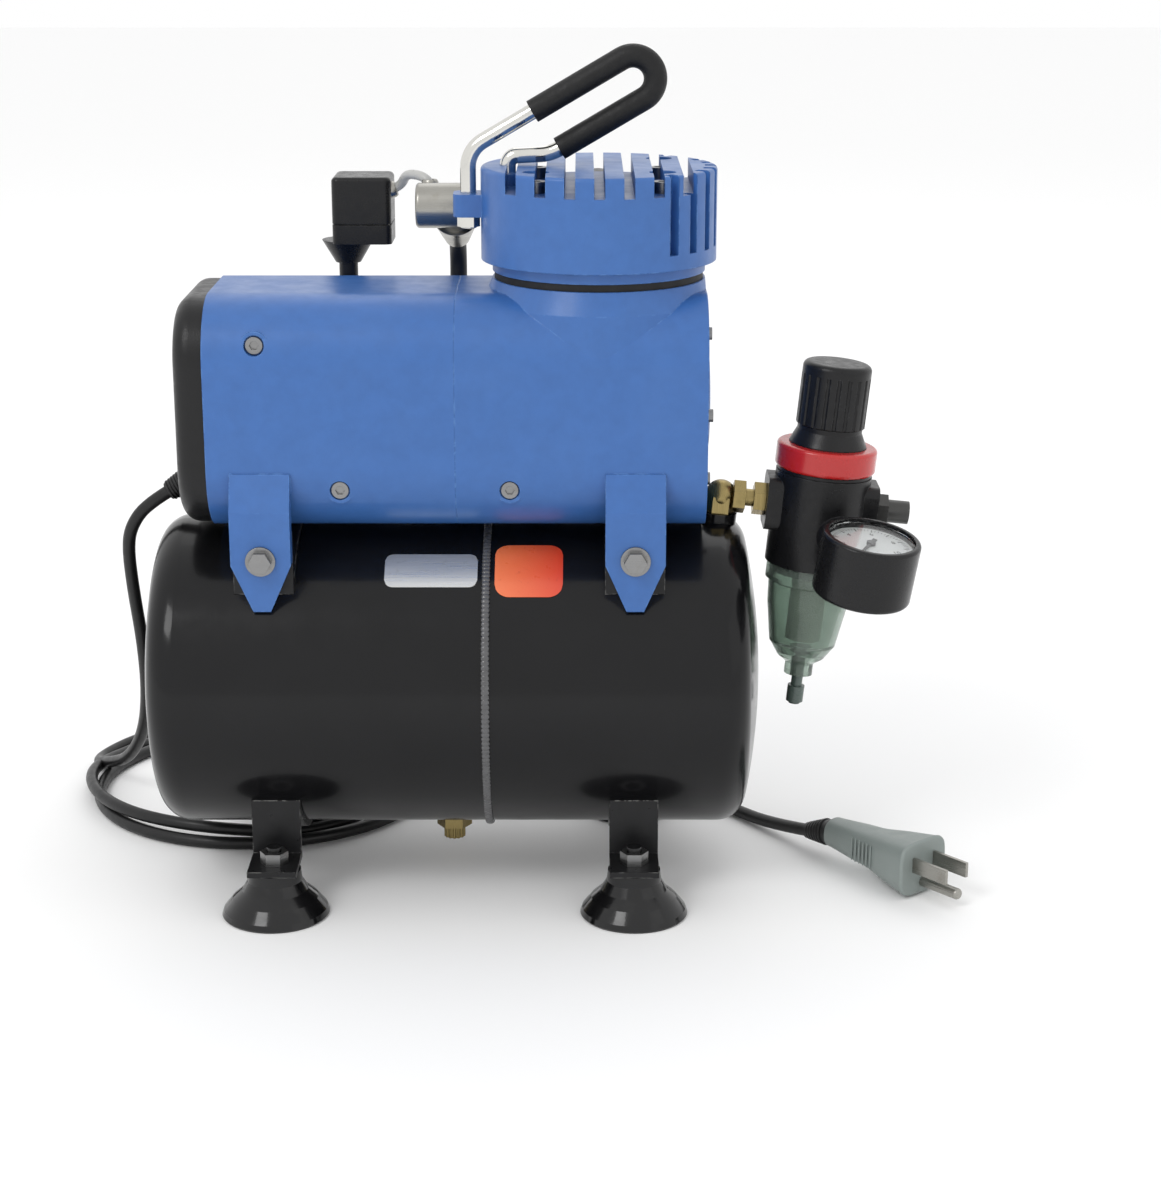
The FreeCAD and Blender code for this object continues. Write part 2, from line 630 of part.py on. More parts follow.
def lug(x, side):
    """A pointed mounting lug on one side of the housing."""
    top = LUG_CENTRE_Z + LUG_RISE
    tip = HOUSING_BOTTOM - LUG_DROP
    half = LUG_WIDTH / 2
    points = [V(x - half, 0, top), V(x + half, 0, top), V(x + half, 0, LUG_CENTRE_Z - 2),
              V(x + 3.5, 0, tip), V(x - 3.5, 0, tip), V(x - half, 0, LUG_CENTRE_Z - 2)]
    face = Part.Face(Part.makePolygon(points + points[:1]))
    plate = face.extrude(V(0, side * LUG_THICKNESS, 0))
    plate.translate(V(0, side * HALF_WIDTH, 0))
    flat_bottom = AXIS_Z - HOUSING_HEIGHT / 2 + HOUSING_CORNER
    y0, y1 = sorted((side * (HALF_WIDTH - 2.4), side * (HALF_WIDTH + 0.1)))
    web = box(x - half, x + half, y0, y1, flat_bottom - 8, top)
    plate = plate.fuse(web).removeSplitter()
    face = HALF_WIDTH + LUG_THICKNESS
    slope = [V(x - half - 1, side * (HALF_WIDTH + 0.8), top), V(x - half - 1, side * (face + 1), top),
             V(x - half - 1, side * (face + 1), top - LUG_SLOPE)]
    plate = plate.cut(Part.Face(Part.makePolygon(slope + slope[:1])).extrude(V(LUG_WIDTH + 2, 0, 0)))
    plate = plate.cut(rod(TANK_RADIUS + 1.0, V(x - 50, 0, TANK_Z), V(x + 50, 0, TANK_Z)))
    return plate


def bush_hole(x):
    return [rod(BUSH_RADIUS, V(x, side * HALF_WIDTH, LUG_CENTRE_Z),
                V(x, side * (LUG_OUTER + 1), LUG_CENTRE_Z)) for side in (-1, 1)]


def side_screw_work(x_range):
    """Bosses, recesses and holes for the side screws in a span of X."""
    bosses = []
    cuts = []
    for x, dz in SIDE_SCREWS:
        if not x_range[0] < x < x_range[1]:
            continue
        for side in (-1, 1):
            y = housing_side(dz)
            z = AXIS_Z + dz
            bosses.append(rod(5.5, V(x, side * (y - 7.5), z), V(x, side * (y - 1), z)))
            recess = y - RECESS_DEPTH - 0.2
            cuts.append(rod(SCREW_HEAD + 0.6, V(x, side * recess, z), V(x, side * (y + 5), z)))
            cuts.append(rod(SCREW_SHANK + SCREWED, V(x, side * (y - 7), z), V(x, side * y, z)))
    return bosses, cuts


def make_motor_cover():
    outer = housing_bar(COVER_LEFT, COVER_RIGHT, 0)
    inner = housing_bar(COVER_LEFT - 1, COVER_RIGHT + 1, COVER_WALL)
    bosses, cuts = side_screw_work((COVER_LEFT, COVER_RIGHT))
    lugs = [lug(LUG_X[0], side) for side in (-1, 1)]
    cover = joined([outer.cut(inner)] + bosses + lugs)
    for cut in cuts + bush_hole(LUG_X[0]):
        cover = cover.cut(cut)
    save("motor_cover", cover)


def make_stator():
    block = box(CORE_LEFT, CORE_RIGHT, -CORE_SIZE / 2, CORE_SIZE / 2,
                AXIS_Z - CORE_SIZE / 2, AXIS_Z + CORE_SIZE / 2)
    long_edges = [e for e in block.Edges if abs(e.tangentAt(e.FirstParameter).x) > 0.9]
    core = block.makeFillet(16, long_edges)
    core = core.cut(rod(ROTOR_RADIUS + 0.6, V(CORE_LEFT - 1, 0, AXIS_Z), V(CORE_RIGHT + 1, 0, AXIS_Z)))
    coil_parts = [motor_ring(WINDING_OUTER, WINDING_INNER, CORE_LEFT - 9, CORE_LEFT),
                  motor_ring(WINDING_OUTER, WINDING_INNER, CORE_RIGHT, CORE_RIGHT + 9)]
    for k in range(4):
        slot = box(CORE_LEFT - 1, CORE_RIGHT + 1, -8, 8, AXIS_Z + WINDING_INNER + 0.3,
                   AXIS_Z + WINDING_OUTER - 1)
        bar = box(CORE_LEFT - 1, CORE_RIGHT + 1, -7.7, 7.7, AXIS_Z + WINDING_INNER + 0.6,
                  AXIS_Z + WINDING_OUTER - 1.3)
        mouth = box(CORE_LEFT - 1, CORE_RIGHT + 1, -2, 2, AXIS_Z + ROTOR_RADIUS - 1, AXIS_Z + 30)
        for piece in (slot, bar, mouth):
            piece.rotate(V(0, 0, AXIS_Z), V(1, 0, 0), 45 + 90 * k)
        core = core.cut(slot).cut(mouth)
        coil_parts.append(bar)
    save("stator_core", core)
    windings = joined(coil_parts)
    save("windings", windings)


def make_rear_bracket():
    plate = housing_bar(BRACKET_X, BRACKET_X + 3, COVER_WALL + SCREWED)
    hub = rod(BEARING_RADIUS + 3, V(BRACKET_X, 0, AXIS_Z), V(BRACKET_X + BEARING_WIDTH, 0, AXIS_Z))
    bracket = plate.fuse(hub)
    bracket = bracket.cut(rod(BEARING_RADIUS + SEAT, V(BRACKET_X - 5, 0, AXIS_Z), V(-60, 0, AXIS_Z)))
    for dy, dz in circle_points(6, 30, 0):
        bracket = bracket.cut(rod(8, V(BRACKET_X - 1, dy, AXIS_Z + dz), V(BRACKET_X + 4, dy, AXIS_Z + dz)))
    save("rear_bracket", bracket)


def make_rotating_group():
    outer, inner = BEARING_RADIUS, SHAFT_RADIUS
    bearings = []
    for x in (BRACKET_X, FRONT_BEARING_X):
        ring = motor_ring(outer, inner, x, x + BEARING_WIDTH)
        for x0, x1 in ((x - 1, x + 0.8), (x + BEARING_WIDTH - 0.8, x + BEARING_WIDTH + 1)):
            ring = ring.cut(motor_ring(outer - 2.4, inner + 2.4, x0, x1))
        bearings.append(ring)
    save("shaft_bearings", *bearings)
    turning = SHAFT_RADIUS - TURNING
    save("motor_shaft", rod(turning, V(SHAFT_LEFT, 0, AXIS_Z), V(WEB_X - 3, 0, AXIS_Z)))
    hub_bore = turning + SEAT
    core = motor_ring(ROTOR_RADIUS, hub_bore, CORE_LEFT, CORE_RIGHT)
    rings = [motor_ring(ROTOR_RADIUS - 2, ROTOR_RADIUS - 7, CORE_LEFT - 4, CORE_LEFT),
             motor_ring(ROTOR_RADIUS - 2, ROTOR_RADIUS - 7, CORE_RIGHT, CORE_RIGHT + 4)]
    save("rotor", joined([core] + rings))
    hub = motor_ring(10, hub_bore, FAN_LEFT, BRACKET_X - 1.5)
    disc = motor_ring(FAN_RADIUS, hub_bore, BRACKET_X - 3.0, BRACKET_X - 1.5)
    blades = []
    for k in range(9):
        blade = box(FAN_LEFT, BRACKET_X - 2, -0.8, 0.8, AXIS_Z + 8, AXIS_Z + FAN_RADIUS - 1)
        blade.rotate(V(0, 0, AXIS_Z + 8), V(1, 0, 0), 25)
        blade.rotate(V(0, 0, AXIS_Z), V(1, 0, 0), 40 * k)
        blades.append(blade)
    blades = [b.common(rod(FAN_RADIUS, V(FAN_LEFT, 0, AXIS_Z), V(BRACKET_X, 0, AXIS_Z))) for b in blades]
    fan = joined([hub, disc] + blades)
    save("cooling_fan", fan.cut(rod(hub_bore, V(FAN_LEFT - 1, 0, AXIS_Z), V(BRACKET_X, 0, AXIS_Z))))


def make_crank():
    turning = SHAFT_RADIUS - TURNING
    hub = rod(10, V(WEB_X - 15, 0, AXIS_Z), V(WEB_X, 0, AXIS_Z))
    web = rod(13, V(WEB_X, 0, AXIS_Z), V(CRANK_PIN_LEFT, 0, AXIS_Z))
    weight = rod(25, V(WEB_X, 0, AXIS_Z), V(CRANK_PIN_LEFT, 0, AXIS_Z))
    weight = weight.common(box(WEB_X, CRANK_PIN_LEFT, -22, 22, AXIS_Z - 30, AXIS_Z - 5))
    pin_z = AXIS_Z + CRANK_THROW
    pin = rod(CRANK_PIN, V(CRANK_PIN_LEFT, 0, pin_z), V(CRANK_PIN_RIGHT, 0, pin_z))
    crank = joined([hub, web, weight, pin])
    crank = crank.cut(rod(turning + SEAT, V(WEB_X - 16, 0, AXIS_Z), V(WEB_X - 3, 0, AXIS_Z)))
    save("eccentric", crank)


def make_connecting_rod():
    x0, x1 = CYLINDER_X - ROD_WIDTH / 2, CYLINDER_X + ROD_WIDTH / 2
    low = AXIS_Z + CRANK_THROW
    big = rod(BIG_END, V(x0, 0, low), V(x1, 0, low))
    eye = rod(EYE_RADIUS, V(x0, 0, PIN_Z), V(x1, 0, PIN_Z))
    shank = box(x0 + 1.5, x1 - 1.5, -5, 5, low + 6, PIN_Z - 4)
    pin = rod(PIN_RADIUS, V(x0 - 1.5, 0, PIN_Z), V(x1 + 1.5, 0, PIN_Z))
    bore = rod(CRANK_PIN + TURNING, V(x0 - 1, 0, low), V(x1 + 1, 0, low))
    save("connecting_rod", joined([big, eye, shank, pin]).cut(bore))


def make_piston():
    radius = BORE_RADIUS - TURNING
    bottom = PIN_Z - EYE_RADIUS
    skirt = tube(radius, BORE_RADIUS - 3, on_cylinder(bottom), on_cylinder(PISTON_TOP))
    crown = rod(radius, on_cylinder(PISTON_TOP - CROWN_THICKNESS), on_cylinder(PISTON_TOP))
    pieces = [skirt, crown]
    for side in (-1, 1):
        x0 = CYLINDER_X + side * (ROD_WIDTH / 2 + 1.9)
        x1 = CYLINDER_X + side * (BORE_RADIUS - 2)
        pieces.append(rod(6.5, V(x0 + side * 1.5, 0, PIN_Z), V(x1, 0, PIN_Z)))
        pieces.append(rod(PIN_RADIUS, V(x0, 0, PIN_Z), V(x1, 0, PIN_Z)))
    piston = joined(pieces).common(rod(radius, on_cylinder(bottom), on_cylinder(PISTON_TOP)))
    for z in (PISTON_TOP - 6, PISTON_TOP - 10):
        piston = piston.cut(tube(radius + 1, radius - 1.2, on_cylinder(z - 1), on_cylinder(z + 1)))
    rings = [tube(radius - 0.01, radius - 1.1, on_cylinder(z - 0.95), on_cylinder(z + 0.95))
             for z in (PISTON_TOP - 6, PISTON_TOP - 10)]
    save("piston", piston, *rings)


def make_crankcase():
    x0, x1 = COVER_RIGHT, CRANKCASE_RIGHT
    shell = housing_bar(x0, x1, 0).cut(housing_bar(x0 - 1, x1 - 6, CASE_WALL))
    bulkhead = housing_bar(FRONT_BEARING_X + 1, FRONT_BEARING_X + BEARING_WIDTH - 2, CASE_WALL - 0.5)
    hub = rod(BEARING_RADIUS + 4, V(FRONT_BEARING_X, 0, AXIS_Z),
              V(FRONT_BEARING_X + BEARING_WIDTH, 0, AXIS_Z))
    shoulder_radius = HALF_WIDTH - APART
    shoulder_top = DECK_Z - NECK_FLARE
    shoulder = rod(shoulder_radius, on_cylinder(AXIS_Z + 10), on_cylinder(shoulder_top))
    flare = taper(shoulder_radius, NECK_RADIUS, on_cylinder(shoulder_top), on_cylinder(DECK_Z))
    neck = shoulder.fuse(flare).common(box(x0, x1, -HALF_WIDTH, HALF_WIDTH, 0, DECK_Z + 1))
    neck_room = rod(NECK_RADIUS - 8, on_cylinder(AXIS_Z), on_cylinder(DECK_Z - 6))
    bosses, cuts = side_screw_work((x0, x1))
    lugs = [lug(LUG_X[1], side) for side in (-1, 1)]
    case = joined([shell, bulkhead, hub, neck] + lugs + bosses)
    case = case.cut(neck_room.common(box(x0, x1 - 6, -60, 60, 0, 400)))
    case = case.cut(rod(BEARING_RADIUS + SEAT, V(FRONT_BEARING_X - 1, 0, AXIS_Z), V(WEB_X - 16, 0, AXIS_Z)))
    case = case.cut(rod(COVER_HOLE, V(x1 - 10, 0, AXIS_Z), V(x1 + 1, 0, AXIS_Z)))
    case = case.cut(rod(COVER_RECESS, V(x1 - 3, 0, AXIS_Z), V(x1 + 1, 0, AXIS_Z)))
    case = case.cut(rod(SLEEVE_OUTER + SCREWED, on_cylinder(SLEEVE_BOTTOM), on_cylinder(DECK_Z + 1)))
    for dy, dz in circle_points(6, COVER_BOLT_CIRCLE, 0):
        case = case.cut(rod(1.4 + SCREWED, V(x1 - 5.6, dy, AXIS_Z + dz), V(x1, dy, AXIS_Z + dz)))
    for dx, dy in circle_points(4, HEAD_BOLT_CIRCLE, 45):
        post = V(CYLINDER_X + dx, dy, 0)
        case = case.cut(rod(2.4 + SCREWED, post + V(0, 0, DECK_Z - 9), post + V(0, 0, DECK_Z + 1)))
    for cut in cuts + bush_hole(LUG_X[1]):
        case = case.cut(cut)
    save("crankcase", case)


def make_crankcase_cover():
    x1 = CRANKCASE_RIGHT
    plate = rod(COVER_RECESS - SCREWED, V(x1 - 3, 0, AXIS_Z), V(x1, 0, AXIS_Z))
    dome = turned([(0, 0), (26, 0), (20, 2.0), (0, 2.6)], V(x1, 0, AXIS_Z), V(1, 0, 0))
    cover = plate.fuse(dome)
    for dy, dz in circle_points(6, COVER_BOLT_CIRCLE, 0):
        cover = cover.cut(rod(1.4 + SCREWED, V(x1 - 5, dy, AXIS_Z + dz), V(x1 + 5, dy, AXIS_Z + dz)))
    save("crankcase_cover", cover.removeSplitter())


def head_bolt_holes(z0, z1):
    return [rod(2.4 + SCREWED, V(CYLINDER_X + dx, dy, z0), V(CYLINDER_X + dx, dy, z1))
            for dx, dy in circle_points(4, HEAD_BOLT_CIRCLE, 45)]


def make_cylinder():
    gasket = tube(NECK_RADIUS - 0.8, SLEEVE_OUTER + SCREWED, on_cylinder(DECK_Z), on_cylinder(FLANGE_Z))
    for hole in head_bolt_holes(DECK_Z - 1, FLANGE_Z + 1):
        gasket = gasket.cut(hole)
    save("cylinder_gasket", gasket)
    sleeve = rod(SLEEVE_OUTER, on_cylinder(SLEEVE_BOTTOM), on_cylinder(FLANGE_Z + 1))
    flange = rod(NECK_RADIUS, on_cylinder(FLANGE_Z), on_cylinder(FLANGE_Z + 4))
    barrel = rod(PLATE_RADIUS - 0.5, on_cylinder(FLANGE_Z), on_cylinder(BARREL_TOP))
    body = joined([sleeve, flange, barrel])
    body = body.cut(rod(BORE_RADIUS, on_cylinder(SLEEVE_BOTTOM - 1), on_cylinder(BARREL_TOP + 1)))
    for hole in head_bolt_holes(DECK_Z, BARREL_TOP + 1):
        body = body.cut(hole)
    save("cylinder", body)


def make_valve_plate():
    top = BARREL_TOP + PLATE_THICKNESS
    plate = rod(PLATE_RADIUS - 0.5, on_cylinder(BARREL_TOP), on_cylinder(top))
    for hole in head_bolt_holes(BARREL_TOP - 1, top + 1):
        plate = plate.cut(hole)
    for y in (-9, 9):
        plate = plate.cut(rod(3.0, on_cylinder(BARREL_TOP - 1, y), on_cylinder(top + 1, y)))
    reach = math.sqrt((BORE_RADIUS - 0.6) ** 2 - REED_EDGE ** 2)
    x0, x1 = CYLINDER_X - reach + 2, CYLINDER_X + reach
    reeds = [box(x0, x1, REED_EDGE - 8, REED_EDGE, top, top + 0.3),
             box(x0, x1, -REED_EDGE, 8 - REED_EDGE, BARREL_TOP - 0.3, BARREL_TOP)]
    save("valve_plate", plate, *reeds)


def make_cylinder_head():
    body = rod(HEAD_RADIUS, on_cylinder(HEAD_BOTTOM), on_cylinder(HEAD_TOP))
    body = body.makeFillet(1.5, [e for e in body.Edges if abs(e.CenterOfMass.z - HEAD_TOP) < 0.01])
    for k in range(FIN_SLOTS):
        x = CYLINDER_X + FIN_PITCH * (k - (FIN_SLOTS - 1) / 2)
        body = body.cut(box(x - FIN_SLOT / 2, x + FIN_SLOT / 2, -60, 60, HEAD_DECK, HEAD_TOP + 1))
    for k in range(9):
        angle = -52 + 13 * k
        notch = box(CYLINDER_X + HEAD_RADIUS - 5, CYLINDER_X + HEAD_RADIUS + 5, -2.2, 2.2,
                    HEAD_BOTTOM + 6, HEAD_TOP + 1)
        notch.rotate(on_cylinder(0), V(0, 0, 1), angle)
        body = body.cut(notch)
    barrel_room = rod(PLATE_RADIUS, on_cylinder(HEAD_BOTTOM - 1), on_cylinder(BARREL_TOP + PLATE_THICKNESS))
    body = body.cut(barrel_room)
    chamber_top = HEAD_DECK - 4
    plate_top = BARREL_TOP + PLATE_THICKNESS
    room = rod(26, on_cylinder(plate_top), on_cylinder(chamber_top))
    rib = box(CYLINDER_X - 30, CYLINDER_X + 30, -2, 2, plate_top, chamber_top)
    body = body.cut(room.cut(rib))
    ear = box(HANDLE_START.x - 6, CYLINDER_X - HEAD_RADIUS + 3, -8, 8, HANDLE_EAR_Z, HANDLE_EAR_Z + 9)
    ear = ear.makeFillet(4, [e for e in ear.Edges if abs(e.CenterOfMass.x - HANDLE_START.x + 6) < 0.01
                             and abs(e.tangentAt(e.FirstParameter).z) > 0.9])
    pad = rod(6, V(HANDLE_FOOT_X, 0, HEAD_DECK - 1), V(HANDLE_FOOT_X, 0, HEAD_TOP - 3))
    wells = []
    for dx, dy in circle_points(4, HEAD_BOLT_CIRCLE, 45):
        post = V(CYLINDER_X + dx, dy, 0)
        wells.append(rod(5.4, post + V(0, 0, HEAD_DECK), post + V(0, 0, HEAD_TOP + 2)))
    intake = rod(9, on_cylinder(ELBOW_Z, FILTER_Y - 8), on_cylinder(ELBOW_Z, FILTER_Y + 4))
    body = joined([body, ear, pad, intake])
    for well in wells + head_bolt_holes(HEAD_BOTTOM, HEAD_DECK + 1):
        body = body.cut(well)
    body = body.cut(barrel_room)
    post = HANDLE_ROD + SCREWED
    body = body.cut(rod(post, V(HANDLE_START.x, 0, HANDLE_EAR_Z - 1), V(HANDLE_START.x, 0, HEAD_TOP)))
    body = body.cut(rod(post, V(HANDLE_FOOT_X, 0, HEAD_DECK), V(HANDLE_FOOT_X, 0, HEAD_TOP + 5)))
    body = body.cut(rod(NIPPLE_RADIUS + SCREWED, V(0, ELBOW_Y, ELBOW_Z), V(NIPPLE_END, ELBOW_Y, ELBOW_Z)))
    body = body.cut(rod(6 + SCREWED, on_cylinder(ELBOW_Z, FILTER_Y - 4), on_cylinder(ELBOW_Z, FILTER_Y + 10)))
    save("cylinder_head", body)


def make_intake_filter():
    start = FILTER_Y + 4
    at = lambda y: on_cylinder(ELBOW_Z, y)
    neck = rod(6, at(start - 7), at(start + 1))
    can = rod(11.5, at(start), at(start + 16))
    can = can.makeFillet(2, [e for e in can.Edges if abs(e.CenterOfMass.y - start - 16) < 0.01])
    slots = []
    for dx, dz in circle_points(10, 11.5, 0):
        slot = rod(1.1, V(CYLINDER_X + dx, start + 4, ELBOW_Z + dz),
                   V(CYLINDER_X + dx, start + 13, ELBOW_Z + dz))
        slots.append(slot)
    save("intake_filter", neck.fuse(can).cut(Part.makeCompound(slots)))


def make_discharge():
    centre = V(ELBOW_X, ELBOW_Y, ELBOW_Z)
    barrel = rod(ELBOW_RADIUS, centre - V(11, 0, 0), centre + V(8, 0, 0))
    barrel = barrel.makeFillet(1.5, [e for e in barrel.Edges if abs(e.CenterOfMass.x - centre.x + 11) < 0.01])
    collar = hexagon(17, centre + V(8, 0, 0), centre + V(13, 0, 0))
    nipple = rod(NIPPLE_RADIUS, centre + V(12, 0, 0), V(NIPPLE_END, ELBOW_Y, ELBOW_Z))
    angle = math.radians(DROP_ANGLE)
    down = V(0, math.cos(angle), -math.sin(angle))
    root = V(DROP_X, ELBOW_Y, ELBOW_Z)
    socket = taper(9.6, 5.4, root + down * 8, root + down * 24)
    neck = rod(7.5, root, root + down * 9)
    body = joined([barrel, collar, nipple, neck, socket])
    body = body.cut(rod(HOSE_RADIUS + SCREWED, root + down * 16, root + down * 26))
    body = body.cut(rod(2.2, root, root + down * 20))
    body = body.cut(rod(2.5, root, V(NIPPLE_END + 1, ELBOW_Y, ELBOW_Z)))
    save("discharge_elbow", body)
    start = root + down * 16.1
    reach = (PORT_Y - start.y) / down.y
    corner = start + down * reach
    end = V(DROP_X, PORT_Y, CHECK_TOP - 4.9)
    trim = 8.0
    bend = bent_tube([start, corner, end], HOSE_RADIUS, 1.6, trim)
    save("discharge_tube", bend)


def unit(vector):
    return V(vector).normalize()


def routed_wire(points, trims):
    """Straight runs joined by tangent arcs, one trim length per corner."""
    edges = []
    radii = []
    start = points[0]
    for k in range(1, len(points) - 1):
        corner = points[k]
        arriving = unit(corner - points[k - 1])
        leaving = unit(points[k + 1] - corner)
        turn = arriving.getAngle(leaving)
        trim = trims[k - 1]
        bend = trim / math.tan(turn / 2)
        first = corner - arriving * trim
        last = corner + leaving * trim
        inside = unit(leaving - arriving)
        middle = corner + inside * (bend / math.cos(turn / 2) - bend)
        edges.append(Part.LineSegment(start, first).toShape())
        edges.append(Part.Arc(first, middle, last).toShape())
        radii.append(round(bend, 1))
        start = last
    edges.append(Part.LineSegment(start, points[-1]).toShape())
    return Part.Wire(edges), radii


def swept(wire, radius, start, direction):
    circle = Part.Wire([Part.Circle(start, direction, radius).toShape()])
    return wire.makePipeShell([circle], True, False)


def bent_tube(points, outer, inner, trim):
    wire, _ = routed_wire(points, [trim] * (len(points) - 2))
    direction = points[1] - points[0]
    solid = swept(wire, outer, points[0], direction)
    if inner:
        solid = solid.cut(swept(wire, inner, points[0], direction))
    return solid


def make_pressure_switch():
    at = lambda z: V(SWITCH_X, PORT_Y, z)
    riser = joined([rod(BUNG_BORE - SCREWED, at(BUNG_TOP - 11), at(BUNG_TOP)),
                    hexagon(13, at(BUNG_TOP), at(BUNG_TOP + 6)),
                    rod(4.0, at(BUNG_TOP + 5), at(SWITCH_BOTTOM - 9))])
    save("switch_riser", riser.cut(rod(2.0, at(BUNG_TOP - 20), at(SWITCH_BOTTOM))))
    width, depth, height = SWITCH_SIZE
    x0 = SWITCH_X + SWITCH_SHIFT - width / 2
    y0 = PORT_Y - depth / 2
    case = box(x0, x0 + width, y0, y0 + depth, SWITCH_BOTTOM, SWITCH_BOTTOM + height)
    case = case.makeFillet(3, [e for e in case.Edges if abs(e.tangentAt(e.FirstParameter).z) > 0.9])
    top = SWITCH_BOTTOM + height
    case = case.makeFillet(2, [e for e in case.Edges if abs(e.CenterOfMass.z - top) < 0.01])
    seam = box(x0 - 1, x0 + width + 1, y0 - 1, y0 + depth + 1, SWITCH_BOTTOM + 8, SWITCH_BOTTOM + 8.6)
    core = box(x0 + 1, x0 + width - 1, y0 + 1, y0 + depth - 1, SWITCH_BOTTOM + 7, SWITCH_BOTTOM + 9)
    case = case.cut(seam.cut(core))
    cone = taper(5.4, 11.0, at(SWITCH_BOTTOM - 9), at(SWITCH_BOTTOM + 0.5))
    cone = cone.common(box(x0 - 6, x0 + width, y0, y0 + depth, 0, 400))
    save("pressure_switch", joined([case, cone]))


def handle_points():
    """The hairpin's route, from the head's left ear round to its top."""
    angle = math.radians(HANDLE_SLOPE)
    along = V(math.cos(angle), 0, math.sin(angle))
    across = V(math.sin(angle), 0, -math.cos(angle))
    lift = HANDLE_START
    far = lift + along * HANDLE_REACH
    return along, across, lift, far


def make_handle():
    """One bent steel rod: up from the ear, round the hairpin, and back down onto the deck."""
    along, across, lift, far = handle_points()
    half = HANDLE_GAP / 2
    near = far + across * HANDLE_GAP
    hairpin = Part.Arc(far, far + (across + along) * half, near).toShape()
    knee = near - along * HANDLE_LOWER_LEG
    foot_top = V(HANDLE_FOOT_X, 0, lift.z - 2.4)
    foot_end = V(HANDLE_FOOT_X, 0, HEAD_DECK + 0.8)
    ear_end = V(lift.x, 0, HANDLE_EAR_Z - 5)
    rise, _ = routed_wire([ear_end, lift, far], [7.0])
    fall, _ = routed_wire([near, knee, foot_top, foot_end], [4.0, 3.6])
    path = Part.Wire(rise.Edges + [hairpin] + fall.Edges)
    steel = swept(path, HANDLE_ROD, ear_end, V(0, 0, 1))
    nut = hexagon(8, V(lift.x, 0, HANDLE_EAR_Z - 4.5), V(lift.x, 0, HANDLE_EAR_Z - SCREWED))
    save("handle_rod", steel.fuse(nut))
    start = lift + along * GRIP_START
    stop = near - along * (HANDLE_LOWER_LEG - 4.0)
    grip_path = Part.Wire([Part.LineSegment(start, far).toShape(), hairpin,
                           Part.LineSegment(near, stop).toShape()])
    grip = swept(grip_path, HANDLE_GRIP, start, along)
    bore = swept(grip_path, HANDLE_ROD + SEAT, start, along)
    save("handle_grip", grip.cut(bore))


def reg(z, x=0, y=0):
    return V(REG_X + x, y, z)


def lean_save(name, *solids):
    save(name, *[leaned(s) for s in solids])


def make_outlet_elbow():
    corner = V(OUTLET_X, 0, OUTLET_Z)
    ball = Part.makeSphere(6.5, corner)
    drop = rod(BUNG_BORE - SCREWED, V(OUTLET_X, 0, OUTLET_Z - 16), corner)
    collar = hexagon(12, V(OUTLET_X, 0, OUTLET_Z - 6.9), corner)
    face_x = REG_X - REGULATOR_BODY - 3
    arm = rod(PIPE_RADIUS, corner, V(face_x + 8.8, 0, OUTLET_Z))
    nut = hexagon(12, V(OUTLET_X + 5, 0, OUTLET_Z), V(OUTLET_X + 10, 0, OUTLET_Z))
    far_nut = hexagon(12, V(face_x - 5, 0, OUTLET_Z), V(face_x - SCREWED, 0, OUTLET_Z))
    body = joined([ball, drop, collar, arm, nut, far_nut])
    body = body.cut(rod(2.0, V(OUTLET_X, 0, OUTLET_Z - 20), corner))
    body = body.cut(rod(2.0, corner, V(face_x + 10, 0, OUTLET_Z)))
    lean_save("outlet_elbow", body)


def gauge_axis():
    angle = math.radians(GAUGE_TURN)
    return V(math.sin(angle), -math.cos(angle), 0)


def tipped(shape):
    """Tip the gauge and its port forward about its port."""
    shape = shape.copy()
    axis = V(math.cos(math.radians(GAUGE_TURN)), math.sin(math.radians(GAUGE_TURN)), 0)
    shape.rotate(reg(GAUGE_MID_Z) + gauge_axis() * REGULATOR_BODY, axis, GAUGE_TIP)
    return shape


def make_regulator_body():
    body = rod(REGULATOR_BODY, reg(REG_BODY_BOTTOM), reg(REG_BODY_TOP))
    flat = box(REG_X - REGULATOR_BODY - 3, REG_X + REGULATOR_BODY + 3, -11, 11, OUTLET_Z - 11, OUTLET_Z + 11)
    flat = flat.makeFillet(4, [e for e in flat.Edges if abs(e.tangentAt(e.FirstParameter).x) > 0.9])
    stem = reg(GAUGE_MID_Z)
    port = tipped(rod(9, stem + gauge_axis() * 12, stem + gauge_axis() * GAUGE_STEM_FACE))
    neck = rod(NECK_OD + 1.5, reg(REG_BODY_BOTTOM - 4), reg(REG_BODY_BOTTOM + 1))
    body = joined([body, flat, port, neck])
    body = body.cut(rod(PIPE_RADIUS + SCREWED, V(REG_X - REGULATOR_BODY - 9, 0, OUTLET_Z),
                        V(REG_X - REGULATOR_BODY + 6, 0, OUTLET_Z)))
    body = body.cut(rod(OUTLET_THREAD + SCREWED, V(REG_X + REGULATOR_BODY - 6, 0, OUTLET_Z),
                        V(REG_X + 60, 0, OUTLET_Z)))
    body = body.cut(tipped(rod(GAUGE_THREAD + SCREWED, reg(GAUGE_MID_Z) + gauge_axis() * 15,
                               reg(GAUGE_MID_Z) + gauge_axis() * 40)))
    chamber = rod(BONNET_BORE, reg(OUTLET_Z + 7), reg(REG_BODY_TOP + 1))
    filter_room = rod(NECK_OD - 2, reg(REG_BODY_BOTTOM - 5), reg(OUTLET_Z - 14))
    body = body.cut(chamber).cut(filter_room)
    body = body.cut(rod(2.2, V(REG_X - 18, 0, OUTLET_Z), V(REG_X + 18, 0, OUTLET_Z)))
    body = body.cut(rod(2.6, reg(OUTLET_Z - 15), reg(OUTLET_Z + 8)))
    lean_save("regulator_body", body.removeSplitter())


